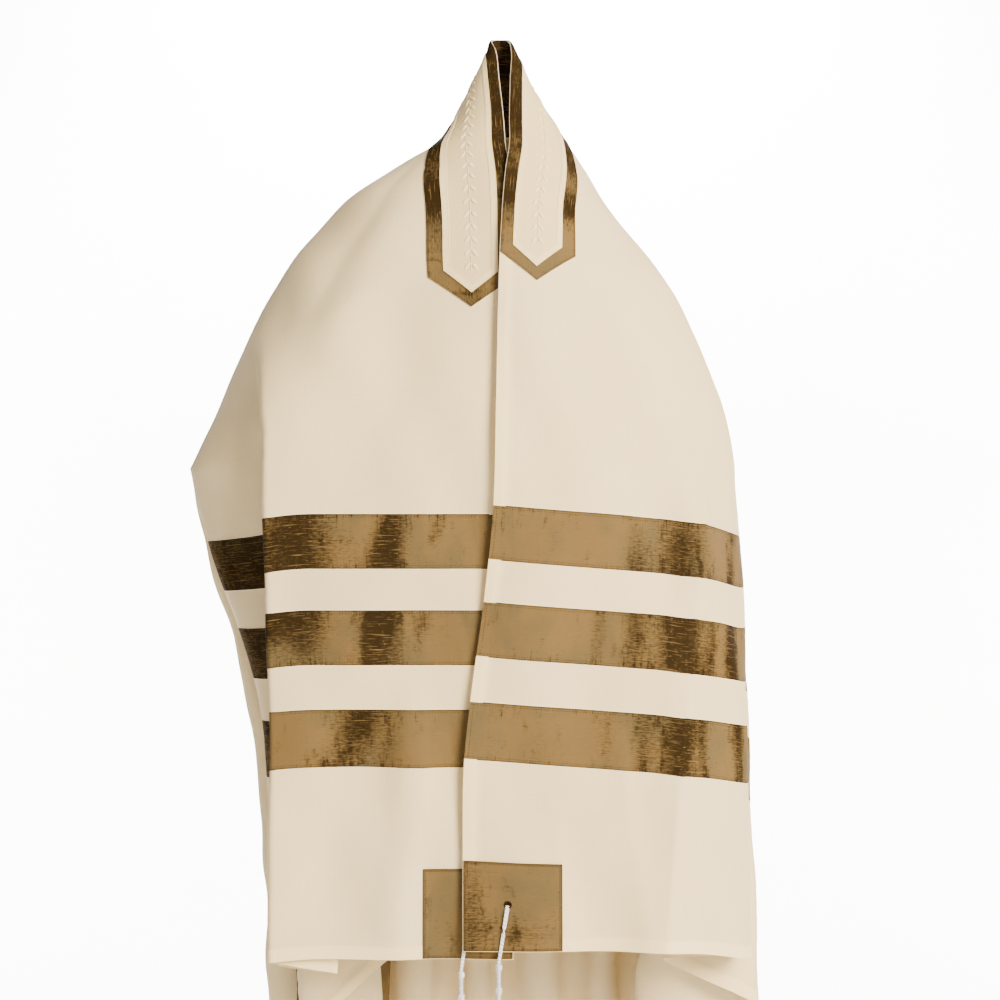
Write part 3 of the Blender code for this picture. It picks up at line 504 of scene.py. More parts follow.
        ahead, aside = run_of_headings(t, heading, TUCK_STRETCHES)
        all_ahead, all_aside = run_of_headings(np.ones_like(t), heading, TUCK_STRETCHES)
        sign = self.side.value
        plan = np.column_stack((start[:, 0] + sign * ahead * width, start[:, 1] + aside * width))
        last = np.column_stack((start[:, 0] + sign * all_ahead * width, start[:, 1] + all_aside * width))
        rest = ease((t - second) / np.maximum(1.0 - second, 0.05))
        return plan + (end[:, :2] - last) * rest[:, None], np.clip(tuck[:, 2], 0.0, 1.0)

    def crease_height(self, p: Array, q: Array, width: Array) -> Array:
        """How far the soft folds of the front stand out."""
        height = np.zeros_like(q)
        for crease in CREASES:
            if crease.side is self.side:
                share = (p - crease.top) / (crease.bottom - crease.top)
                centre = crease.q_top + (crease.q_bottom - crease.q_top) * share
                fade = ease((p - crease.top) / CREASE_FADE) * ease((crease.bottom - p) / CREASE_FADE)
                fade = fade * ease(q / 0.030) * ease((width - q) / 0.040)
                height = height + crease.depth * fade * np.exp(-((q - centre) / crease.width) ** 2)
        return height

    def back_place(self, p: Array, q: Array) -> Array:
        """The back: rows from its middle line to the ridge, or to the side's back line."""
        line = np.column_stack((np.zeros_like(q), smooth_table(q, BACK_LINE)))
        above = q < self.elbow_q
        ridge_p = np.where(above, np.interp(q, self.dense_q, self.dense_p), self.elbow_p)
        ridge_end, ridge_way = self.ridge_point(ridge_p)
        low_end = self.fall_point(np.maximum(q - self.elbow_q, 0.0), back=True)
        end = np.where(above[:, None], ridge_end, low_end)
        t = np.divide(p, ridge_p, out=np.zeros_like(p), where=ridge_p > 1e-6)
        high = self.high(q / self.elbow_q)[:, None]
        outward = np.tile((float(self.side.value), 0.0, 0.0), (len(p), 1))
        forward = np.tile((0.0, -1.0, 0.0), (len(p), 1))
        span = np.linalg.norm(end - line, axis=1, keepdims=True)
        end_way = unit(ridge_way * high + forward) * span
        share = BACK_BOW * span[:, 0] / np.maximum(ridge_p, 1e-6)
        ahead, aside = folded_run(t, share, BACK_WAVES[self.side], np.ones_like(t))
        depth = self.limited(aside * ridge_p, ridge_p)
        return self.beside(line, outward * span, end, end_way, ahead, depth, -self.side.value)

    def side_place(self, p: Array, q: Array) -> Array:
        """The side below the elbow: a fan of straight threads folded into deep waves."""
        drop = np.hypot(p - self.elbow_p, q - self.elbow_q)
        angle = np.arctan2(q - self.elbow_q, p - self.elbow_p)
        start = self.fall_point(drop, back=False)
        end = self.fall_point(drop, back=True)
        ring = 0.5 * math.pi * drop
        share = np.linalg.norm(end[:, :2] - start[:, :2], axis=1) / np.maximum(ring, 1e-6)
        fullness = ease((drop - SIDE_FOLD_START) / SIDE_FOLD_FULL)
        ahead, aside = folded_run(angle / (0.5 * math.pi), share, SIDE_WAVES[self.side], fullness)
        depth = self.limited(aside * ring, ring)
        way = end - start
        points = self.beside(start, way, end, way, ahead, depth, self.side.value)
        return self.hang(points[:, :2], drop)

    @staticmethod
    def limited(depth: Array, length: Array) -> Array:
        """Keep the lobes of very long rows from reaching too deep."""
        deepest = 0.395 * length / 3.0
        return depth * np.minimum(1.0, DEEPEST_LOBE / np.maximum(deepest, 1e-6))

    @staticmethod
    def beside(start: Array, start_way: Array, end: Array, end_way: Array, ahead: Array, depth: Array,
               turn: int) -> Array:
        """A point beside a base curve, pushed level towards the hollow.

        Args:
            start: Where the base curves start.
            start_way: Their directions there.
            end: Where they end.
            end_way: Their directions there.
            ahead: How far along its curve each point is.
            depth: How far beside it.
            turn: Which way is inwards, 1 or -1.

        Returns:
            The points' places.
        """
        base = hermite(start, start_way, end, end_way, ahead)
        before = hermite(start, start_way, end, end_way, ahead - 0.01)
        after = hermite(start, start_way, end, end_way, ahead + 0.01)
        way = after - before
        way[:, 2] = 0.0
        way = unit(way)
        base[:, 0] -= turn * way[:, 1] * depth
        base[:, 1] += turn * way[:, 0] * depth
        return base


class Ripple(NamedTuple):
    """A shallow wave over the whole cloth: its lengths along and down, its phase and its height."""

    along: float
    down: float
    phase: float
    height: float


RIPPLES = (
    Ripple(0.36, 0.150, 0.4, 0.00130),
    Ripple(-0.27, 0.105, 1.7, 0.00090),
    Ripple(0.17, -0.083, 2.9, 0.00045),
    Ripple(-0.11, -0.058, 4.4, 0.00018),
)


class PressedFold(NamedTuple):
    """A pressed line in the cloth: where it starts and ends, how high it stands and how wide it is."""

    s_start: float
    q_start: float
    s_end: float
    q_end: float
    height: float
    width: float


PRESSED_FOLDS = (
    PressedFold(0.500, 0.233, 1.025, 0.188, 0.00300, 0.0050),
    PressedFold(-0.186, 0.010, -0.178, 0.096, -0.00110, 0.0045),
    PressedFold(-0.560, 0.036, -0.590, 0.033, -0.00070, 0.0018),
    PressedFold(-0.560, 0.027, -0.578, 0.026, -0.00060, 0.0016),
    PressedFold(-0.661, 0.045, -0.712, 0.040, -0.00070, 0.0016),
    PressedFold(-0.765, 0.064, -0.815, 0.061, -0.00060, 0.0015),
    PressedFold(-0.765, 0.050, -0.783, 0.052, -0.00070, 0.0018),
    PressedFold(1.000, 0.046, 1.024, 0.044, -0.00060, 0.0040),
    PressedFold(-0.800, 0.090, -1.020, 0.122, 0.00240, 0.0130),
    PressedFold(0.790, 0.145, 1.020, 0.172, 0.00260, 0.0150),
    PressedFold(0.850, 0.085, 1.020, 0.100, 0.00150, 0.0120),
    PressedFold(-0.165, 0.105, -0.340, 0.190, -0.00260, 0.0130),
    PressedFold(-0.350, 0.175, -0.285, 0.100, 0.00200, 0.0120),
    PressedFold(0.270, 0.150, 0.480, 0.110, 0.00180, 0.0150),
)


class Drape:
    """The whole hanging cloth, read at flat points."""

    def __init__(self) -> None:
        """Make both halves."""
        self.halves = {side: HalfDrape(side, ridge, fall) for side, ridge, fall in (
            (Side.LEFT, LEFT_RIDGE, LEFT_FALL), (Side.RIGHT, RIGHT_RIDGE, RIGHT_FALL))}

    def plain(self, s: Array, q: Array) -> Array:
        """The hanging places of flat points, on a cloth without ripples or wall.

        Args:
            s: Along the cloth, of any shape.
            q: Down the cloth, of the same shape.

        Returns:
            The places, with one more axis.
        """
        shape = np.broadcast(s, q).shape
        flat_s = np.broadcast_to(s, shape).astype(float).ravel() - CLOTH_SHIFT
        flat_q = np.broadcast_to(q, shape).astype(float).ravel()
        flat_s, flat_q = self.settled(flat_s, flat_q)
        points = np.zeros((len(flat_s), 3))
        for side, half in self.halves.items():
            mask = (flat_s < 0.0) if side is Side.LEFT else (flat_s >= 0.0)
            if mask.any():
                points[mask] = half.place(np.abs(flat_s[mask]), flat_q[mask])
        return points.reshape(shape + (3,))

    @staticmethod
    def settled(s: Array, q: Array) -> tuple[Array, Array]:
        """Where the cloth has slid to within its own surface: gathered at the neck and sagging on the right.

        Args:
            s: Along the cloth from the middle of its drape.
            q: Down the cloth.

        Returns:
            Both, after the slide.
        """
        p = np.abs(s)
        right = s >= 0.0
        more = RIGHT_COLLAR_GATHER * ease((p - COLLAR_GATHER_START) / COLLAR_GATHER_RUN)
        gathered = np.where(right, RIGHT_GATHER + more, LEFT_GATHER)
        gathered = gathered * ease((GATHER_END - p) / GATHER_FADE) * np.exp(-(q / GATHER_DEPTH) ** 4)
        along = ease((p - SAG_START) / SAG_RUN) * ease((SAG_END - p) / SAG_FADE)
        sag = RIGHT_SAG * np.minimum(q, SAG_WIDEST) * along * ease((SAG_DEPTH - q) / SAG_DEPTH_FADE)
        return np.where(right, p + sag, -p), q * (1.0 - gathered)

    def outward(self, s: Array, q: Array) -> Array:
        """The direction out of the cloth's shown face at flat points."""
        along = self.plain(s + SLOPE_STEP, q) - self.plain(s - SLOPE_STEP, q)
        below = np.minimum(q + SLOPE_STEP, CLOTH_WIDTH)
        above = np.maximum(q - SLOPE_STEP, 0.0)
        out = np.cross(along, self.plain(s, below) - self.plain(s, above))
        return out / np.maximum(np.linalg.norm(out, axis=-1, keepdims=True), 1e-12)

    @staticmethod
    def relief(s: Array, q: Array) -> Array:
        """How far ripples and pressed folds lift the cloth, the same for all its layers."""
        calm = ease((np.abs(s) - 0.04) / 0.20)
        height = sum(row.height * np.sin(2.0 * math.pi * (s / row.along + q / row.down) + row.phase)
                     for row in RIPPLES) * calm
        for fold in PRESSED_FOLDS:
            run = np.array((fold.s_end - fold.s_start, fold.q_end - fold.q_start))
            length = float(np.hypot(*run))
            ahead = ((s - fold.s_start) * run[0] + (q - fold.q_start) * run[1]) / length
            beside = ((q - fold.q_start) * run[0] - (s - fold.s_start) * run[1]) / length
            ends = ease(ahead / (0.2 * length) + 0.5) * ease((length - ahead) / (0.2 * length) + 0.5)
            height = height + fold.height * ends * np.exp(0.3 - np.hypot(beside / fold.width, 0.3))
        return height

    def lifted(self, s: Array, q: Array, lift: Array | float) -> tuple[Array, Array]:
        """Places a little way out from the cloth, and the direction outwards there.

        Args:
            s: Along the cloth.
            q: Down the cloth.
            lift: How far out.

        Returns:
            The places and the directions.
        """
        out = self.outward(s, q)
        height = np.broadcast_to(lift, out.shape[:-1]) + self.relief(s, q)
        return self.plain(s, q) + out * height[..., None], out

    def ridge_line(self, s: Array) -> Array:
        """How far down the cloth its bend over shoulder and elbow lies, at each s."""
        p = np.abs(s - CLOTH_SHIFT)
        left, right = (self.halves[side].ridge_q(p) for side in Side)
        return np.where(s < CLOTH_SHIFT, left, right)


def cells(index: Array) -> Array:
    """The corner numbers of every cell between a grid's points."""
    return np.stack((index[:-1, :-1], index[1:, :-1], index[1:, 1:], index[:-1, 1:]), axis=-1)


def middles(grid: Array) -> Array:
    """A grid's values at the middles of its cells."""
    return 0.25 * (grid[:-1, :-1] + grid[1:, :-1] + grid[:-1, 1:] + grid[1:, 1:])


def added(name: str, data: bpy.types.ID) -> Thing:
    """A new object, in the scene."""
    thing = bpy.data.objects.new(name, data)
    bpy.context.scene.collection.objects.link(thing)
    return thing


def ring_line(middle: Array, radius: Array | float, angle: Array, height: Array) -> Array:
    """Points round an upright line through a middle, at the given angles and heights."""
    return np.column_stack((middle[0] + radius * np.cos(angle), middle[1] + radius * np.sin(angle), height))


def steps(start: float, end: float, size: float) -> Array:
    """Places from start to end, about a given size apart."""
    return np.linspace(start, end, max(2, round(abs(end - start) / size) + 1))


def through(marks: Sequence[float], sizes: Sequence[float]) -> Array:
    """Places through all marks, with a step size for each stretch between them."""
    places = [np.array(marks[:1])]
    for start, end, size in zip(marks[:-1], marks[1:], sizes):
        places.append(steps(start, end, size)[1:])
    return np.concatenate(places)


def drawn(corners: Sequence[tuple[float, float]], size: float = 0.004) -> Array:
    """A flat path through corners, with points about a given size apart."""
    points = [np.array(corners[:1], dtype=float)]
    for start, end in zip(corners[:-1], corners[1:]):
        share = steps(0.0, 1.0, size / max(math.dist(start, end), 1e-6))[1:, None]
        points.append(np.array(start) * (1.0 - share) + np.array(end) * share)
    return np.concatenate(points)


def inset(corners: Sequence[tuple[float, float]], width: float) -> Outline:
    """Move a closed outline inwards, with mitred corners.

    Args:
        corners: Its corners, anticlockwise where s runs right and q up.
        width: How far to move each side.

    Returns:
        The moved corners, in the same order.
    """
    points = [np.array(corner, dtype=float) for corner in corners]
    moved = []
    for before, here, after in zip(points[-1:] + points[:-1], points, points[1:] + points[:1]):
        way_in = (here - before) / np.linalg.norm(here - before)
        way_out = (after - here) / np.linalg.norm(after - here)
        side_in = np.array((-way_in[1], way_in[0]))
        side_out = np.array((-way_out[1], way_out[0]))
        mitre = (side_in + side_out) / (1.0 + float(side_in @ side_out))
        moved.append(tuple(here + mitre * width))
    return moved


@dataclass
class ClothGrid:
    """Where the cloth's grid has its lines, so that hems, eyelets and bends lie on them."""

    hem: float = 0.0140
    eyelet_from_end: float = 0.050
    eyelet_from_edge: float = 0.046
    eyelet_half: float = 0.0025
    hem_edge: float = 0.0005
    neck_half: float = 0.062
    left_elbow: float = 0.475
    right_elbow: float = 0.517
    line_step: float = 0.0086
    neck_step: float = 0.0042
    counts: tuple[int, ...] = (2, 1, 4, 1, 28, 44, 10, 84, 1, 4, 1, 2)
    nearest_ridge: float = 0.145
    even: tuple[float, float] = (0.341, 0.878)
    tucked: tuple[float, float] = (0.556, 0.863)

    def line_places(self) -> Array:
        """The grid's places along the cloth."""
        hem = CLOTH_HALF_LENGTH
        eyelet = hem - self.eyelet_from_end
        marks = [self.neck_half, *(mark for band in SILK_BANDS for mark in band),
                 eyelet - self.eyelet_half, eyelet + self.eyelet_half,
                 hem - self.hem - self.hem_edge, hem - self.hem + self.hem_edge, hem]
        left = [-mark for mark in sorted([*marks, self.left_elbow], reverse=True)]
        right = sorted([*marks, self.right_elbow])
        sizes = [self.line_step] * len(marks)
        return through(left + right, [*sizes, self.neck_step, *sizes])

    def column_places(self, drape: Drape, s: Array, finer: int = 1) -> Array:
        """The grid's places down the cloth, for each of its lines.

        Args:
            drape: The form, which has a bend that a column keeps to.
            s: The lines' places along the cloth.
            finer: How many steps to make of each one.

        Returns:
            A row of places for each line.
        """
        bend = np.maximum(drape.ridge_line(s), self.nearest_ridge)
        tucked = ease((-s - 0.30) / 0.08)
        edge = self.eyelet_from_edge
        first = edge + self.eyelet_half
        near = [0.0, self.hem - self.hem_edge, self.hem + self.hem_edge, edge - self.eyelet_half, first]
        far = [CLOTH_WIDTH - mark for mark in reversed(near)]
        inner = [first + (bend - first) * (even + (tuck - even) * tucked)
                 for even, tuck in zip(self.even, self.tucked)]
        marks = [np.full_like(s, mark) for mark in near] + [*inner, bend]
        marks += [np.full_like(s, mark) for mark in far]
        columns = [marks[0][:, None]]
        for start, end, count in zip(marks[:-1], marks[1:], self.counts):
            share = np.arange(1, count * finer + 1) / (count * finer)
            columns.append(start[:, None] + (end - start)[:, None] * share)
        return np.concatenate(columns, axis=1)


class Mesher:
    """Turns grids and lines of points into named meshes."""

    def __init__(self, drape: Drape) -> None:
        """Keep the form that the pieces lie on."""
        self.drape = drape

    def cloth(self, name: str, s: Array, q: Array, lift: Array | float, wall: float, *,
              keep: Array | None = None, flat: Array | None = None, loop: bool = False,
              **values: Array) -> Thing:
        """A closed wall of cloth over a grid of flat points.

        Args:
            name: The piece's name.
            s: The grid's places along the cloth.
            q: Its places down the cloth, turning from s the way that q turns from s.
            lift: How far its middle lies out from the cloth's own middle.
            wall: Its thickness.
            keep: Which of the grid's cells have cloth, where some have none.
            flat: Its UV map, or else (q, s).
            loop: Whether the last line joins the first.
            **values: Point attributes, each with the grid's shape.

        Returns:
            The piece.
        """
        middle, out = self.drape.lifted(s, q, lift)
        rows, columns = s.shape
        count = rows * columns
        index = np.arange(count).reshape(rows, columns)
        corners = cells(np.concatenate((index, index[:1])) if loop else index)
        keep = np.ones(corners.shape[:2], dtype=bool) if keep is None else keep
        faces = [corners[keep], corners[keep][:, ::-1] + count]
        around = np.pad(keep, 1)
        if loop:
            around[0] = around[-1] = True
        height, width = keep.shape
        for (row, column), (first, second) in (((-1, 0), (3, 0)), ((1, 0), (1, 2)),
                                               ((0, -1), (0, 1)), ((0, 1), (2, 3))):
            beside = around[1 + row:height + 1 + row, 1 + column:width + 1 + column]
            edge = corners[keep & ~beside]
            a, b = edge[:, first], edge[:, second]
            faces.append(np.stack((b, a, a + count, b + count), axis=-1))
        points = np.concatenate([(middle + out * half).reshape(-1, 3) for half in (0.5 * wall, -0.5 * wall)])
        flat = np.stack((q, s), axis=-1) if flat is None else flat
        maps = np.concatenate((flat.reshape(-1, 2), flat.reshape(-1, 2)))
        doubled = {key: np.concatenate((value.ravel(), value.ravel())) for key, value in values.items()}
        return self.made(name, points, faces, maps, doubled)

    @staticmethod
    def made(name: str, points: Array, faces: Sequence[Array], flat: Array | None = None,
             values: dict[str, Array] | None = None) -> Thing:
        """A smooth mesh object with sharp rims.

        Args:
            name: Its name.
            points: Its corners.
            faces: Tables of corner numbers, each with as many columns as its faces have corners.
            flat: A UV place for each corner, if it has a map.
            values: Point attributes, numbers or vectors.

        Returns:
            The object, in the scene.
        """
        faces = [table for table in faces if len(table)]
        used, order = np.unique(np.concatenate([table.ravel() for table in faces]), return_inverse=True)
        order = order.ravel()
        sizes = np.concatenate([np.full(len(table), table.shape[1]) for table in faces])
        mesh = bpy.data.meshes.new(name)
        mesh.vertices.add(len(used))
        mesh.vertices.foreach_set("co", points[used].astype(np.float32).ravel())
        mesh.loops.add(len(order))
        mesh.loops.foreach_set("vertex_index", order.astype(np.int32))
        mesh.polygons.add(len(sizes))
        mesh.polygons.foreach_set("loop_start", (np.cumsum(sizes) - sizes).astype(np.int32))
        mesh.update(calc_edges=True)
        if flat is not None:
            layer = mesh.uv_layers.new(name="flat")
            layer.uv.foreach_set("vector", flat[used][order].astype(np.float32).ravel())
        for key, value in (values or {}).items():
            is_vector = value.ndim > 1
            attribute = mesh.attributes.new(key, "FLOAT_VECTOR" if is_vector else "FLOAT", "POINT")
            attribute.data.foreach_set("vector" if is_vector else "value",
                                       value[used].astype(np.float32).ravel())
        mesh.validate()
        mesh.shade_smooth()
        mesh.set_sharp_from_angle(angle=SHARP_ANGLE)
        return added(name, mesh)

    def tubes(self, name: str, lines: Sequence[Array], radius: float | Sequence[Array], sides: int = 6
              ) -> Thing:
        """Closed tubes along lines of points, with how far along and round each corner is as an attribute.

        Args:
            name: The piece's name.
            lines: The tubes' middle lines.
            radius: Their radius, or a row of radii for each line.
            sides: How many sides each has.

        Returns:
            One object with all of them.
        """
        points, quads, caps, ply = [], [], [], []
        start = 0
        angles = 2.0 * math.pi * np.arange(sides) / sides
        for number, line in enumerate(lines):
            radii = np.full(len(line), radius) if isinstance(radius, float) else radius[number]
            way = unit(np.gradient(line, axis=0))
            side = np.cross(way[0], (0.3, 0.5, 0.8))
            frames = []
            for heading in way:
                side = side - heading * float(side @ heading)
                side = side / np.linalg.norm(side)
                frames.append((side, np.cross(heading, side)))
            first = np.array([row[0] for row in frames])[:, None, :]
            second = np.array([row[1] for row in frames])[:, None, :]
            ring = first * np.cos(angles)[None, :, None] + second * np.sin(angles)[None, :, None]
            rings = line[:, None, :] + ring * radii[:, None, None]
            along = np.concatenate(((0.0,), np.cumsum(np.linalg.norm(np.diff(line, axis=0), axis=1))))
            index = start + np.arange(len(line) * sides).reshape(-1, sides)
            after = np.roll(index, -1, axis=1)
            quads.append(np.stack((index[:-1], after[:-1], after[1:], index[1:]), axis=-1).reshape(-1, 4))
            caps.append(np.stack((index[0, ::-1], index[-1])))
            points.append(rings.reshape(-1, 3))
            ply.append(np.stack(np.broadcast_arrays(along[:, None], np.cos(angles), np.sin(angles)), axis=-1))
            start += len(line) * sides
        return self.made(name, np.concatenate(points), [np.concatenate(quads), np.concatenate(caps)],
                         values={"ply": np.concatenate([row.reshape(-1, 3) for row in ply])})


class Graph:
    """Adds and joins the nodes of one material or geometry tree."""

    def __init__(self, tree: bpy.types.NodeTree) -> None:
        """Keep the tree."""
        self.tree = tree

    def add(self, kind: str, inputs: dict[str | int, object] | None = None, **settings: object
            ) -> bpy.types.Node:
        """Add a node.

        Args:
            kind: The node's type.
            inputs: Values or sockets for its inputs.
            **settings: Its own settings.

        Returns:
            The node.
        """
        node = self.tree.nodes.new(kind)
        for key, value in settings.items():
            setattr(node, key, value)
        for key, value in (inputs or {}).items():
            if isinstance(value, Socket):
                self.tree.links.new(value, node.inputs[key])
            else:
                node.inputs[key].default_value = value
        return node

    def math(self, operation: str, *values: object, clamp: bool = False) -> Socket:
        """A sum of one kind."""
        return self.add("ShaderNodeMath", dict(enumerate(values)), operation=operation,
                        use_clamp=clamp).outputs[0]


class MaterialGraph(Graph):
    """The nodes of one material, with the sums that cloths need."""

    def __init__(self, name: str, roughness: float, specular: float = 0.5, bending: float = 1.45) -> None:
        """Start a material.

        Args:
            name: Its name.
            roughness: The shader's roughness.
            specular: Its specular level.
            bending: Its index of refraction, which sets how it shines at grazing angles.
        """
        self.material = bpy.data.materials.new(name)
        self.material.use_nodes = True
        super().__init__(self.material.node_tree)
        self.shader = self.tree.nodes["Principled BSDF"]
        self.put("Roughness", roughness)
        self.put("Specular IOR Level", specular)
        self.put("IOR", bending)

    def put(self, name: str, value: object) -> None:
        """Set or feed one of the shader's inputs."""
        if isinstance(value, Socket):
            self.tree.links.new(value, self.shader.inputs[name])
        else:
            self.shader.inputs[name].default_value = value

    def flat(self) -> Socket:
        """The cloth's flat coordinates, in metres."""
        return self.add("ShaderNodeUVMap", uv_map="flat").outputs[0]

    def value(self, name: str) -> Socket:
        """A number that the mesh carries."""
        return self.add("ShaderNodeAttribute", attribute_name=name).outputs["Fac"]

    def noise(self, where: Socket, u: float, v: float, detail: float = 2.0, turn: float = 0.0
              ) -> Socket:
        """Noise from 0 to 1, stretched along the cloth's threads.

        Args:
            where: The coordinates.
            u: How many grains to a metre along the first axis.
            v: How many along the second.
            detail: The noise's detail.
            turn: How far the pattern is turned.

        Returns:
            The noise.
        """
        placed = self.add("ShaderNodeMapping", {"Vector": where, "Scale": (u, v, 0.5 * (u + v)),
                                                "Rotation": (0.0, 0.0, turn)}, vector_type="POINT")
        return self.add("ShaderNodeTexNoise", {"Vector": placed.outputs[0], "Scale": 1.0, "Detail": detail,
                                               "Roughness": 0.55}).outputs["Fac"]

    def wave(self, where: Socket, axis: str, pitch: float) -> Socket:
        """An even wave from 0 to 1 along one axis."""
        return self.add("ShaderNodeTexWave", {"Vector": where, "Scale": math.pi / (10.0 * pitch)},
                        wave_type="BANDS", bands_direction=axis).outputs["Fac"]

    def between(self, value: Socket, low: float, high: float, start: float = 0.0,
                end: float = 1.0) -> Socket:
        """A smooth ramp of a value between two others."""
        return self.add("ShaderNodeMapRange", {"Value": value, "From Min": low, "From Max": high,
                                               "To Min": start, "To Max": end},
                        interpolation_type="SMOOTHSTEP").outputs["Result"]

    def mix(self, share: object, first: object, second: object) -> Socket:
        """Mix two colours."""
        node = self.add("ShaderNodeMix", data_type="RGBA")
        for socket, value in ((node.inputs[0], share), (node.inputs[6], first), (node.inputs[7], second)):
            if isinstance(value, Socket):
                self.tree.links.new(value, socket)
            else:
                socket.default_value = (*value, 1.0) if isinstance(value, tuple) else value
        return node.outputs[2]

    def bump(self, height: Socket, distance: float, strength: float = 1.0) -> None:
        """Give the shader a fine relief."""
        node = self.add("ShaderNodeBump", {"Height": height, "Distance": distance, "Strength": strength})
        self.put("Normal", node.outputs[0])


class Grain(NamedTuple):
    """A noise: its grains to a metre along the two axes, its detail and its turn."""

    u: float
    v: float
    detail: float = 2.0
    turn: float = 0.0


class Ramp(NamedTuple):
    """A smooth ramp: the values that it runs between, and what it gives for them."""

    low: float
    high: float
    start: float = 0.0
    end: float = 1.0


@dataclass(frozen=True)
class WoolFinish:
    """Fine plain-woven wool, with a lighter and denser turned hem."""

    name: str = "ivory_wool"
    colour: Triple = (0.80, 0.635, 0.365)
    cooler: Triple = (0.70, 0.580, 0.370)
    hem: Triple = (0.92, 0.73, 0.40)
    roughness: float = 0.80
    sheen: float = 0.12
    thread: float = 0.0006
    relief: float = 0.00012
    cloud: Grain = Grain(5.0, 4.0)
    warp: Grain = Grain(22.0, 1000.0, 1.0)
    weft: Grain = Grain(1000.0, 26.0, 1.0)
    cloud_ramp: Ramp = Ramp(0.35, 0.70)
    cloud_share: float = 0.55
    yarn_ramp: Ramp = Ramp(0.70, 1.30, 0.0, 0.16)
    yarn_shade: float = 0.80
    hem_share: float = 0.85

    def make(self) -> Material:
        """Build the material."""
        graph = MaterialGraph(self.name, self.roughness, 0.3, 1.20)
        flat = graph.flat()
        clouds = graph.between(graph.noise(flat, *self.cloud), *self.cloud_ramp)
        base = graph.mix(graph.math("MULTIPLY", clouds, self.cloud_share), self.colour, self.cooler)
        yarn = graph.math("ADD", graph.noise(flat, *self.warp), graph.noise(flat, *self.weft))
        shade = tuple(self.yarn_shade * part for part in self.cooler)
        base = graph.mix(graph.between(yarn, *self.yarn_ramp), base, shade)
        hemmed = graph.math("MULTIPLY", graph.value("hem"), self.hem_share)
        graph.put("Base Color", graph.mix(hemmed, base, self.hem))
        weave = graph.math("MULTIPLY", graph.wave(flat, "X", self.thread), graph.wave(flat, "Y", self.thread))
        graph.bump(graph.math("ADD", weave, yarn), self.relief)
        graph.put("Sheen Weight", self.sheen)
        graph.put("Sheen Roughness", 0.45)
        graph.put("Sheen Tint", (1.0, 0.95, 0.85, 1.0))
        return graph.material


@dataclass(frozen=True)
class RibbonFinish:
    """Narrow cream ribbon with fine ribs."""

    name: str = "cream_ribbon"
    colour: Triple = (0.88, 0.70, 0.39)
    shade: Triple = (0.68, 0.53, 0.28)
    roughness: float = 0.55
    rib: float = 0.0009
    mottle: Grain = Grain(260.0, 260.0, 3.0)
    mottle_ramp: Ramp = Ramp(0.3, 0.7, 0.0, 0.45)
    relief: float = 0.00012

    def make(self) -> Material:
        """Build the material."""
        graph = MaterialGraph(self.name, self.roughness, 0.3, 1.25)
        flat = graph.flat()
        ribs = graph.math("ADD", graph.wave(flat, "X", self.rib), graph.wave(flat, "Y", self.rib))
        mottle = graph.between(graph.noise(flat, *self.mottle), *self.mottle_ramp)
        graph.put("Base Color", graph.mix(mottle, self.colour, self.shade))
        graph.bump(ribs, self.relief)
        graph.put("Sheen Weight", 0.2)
        return graph.material


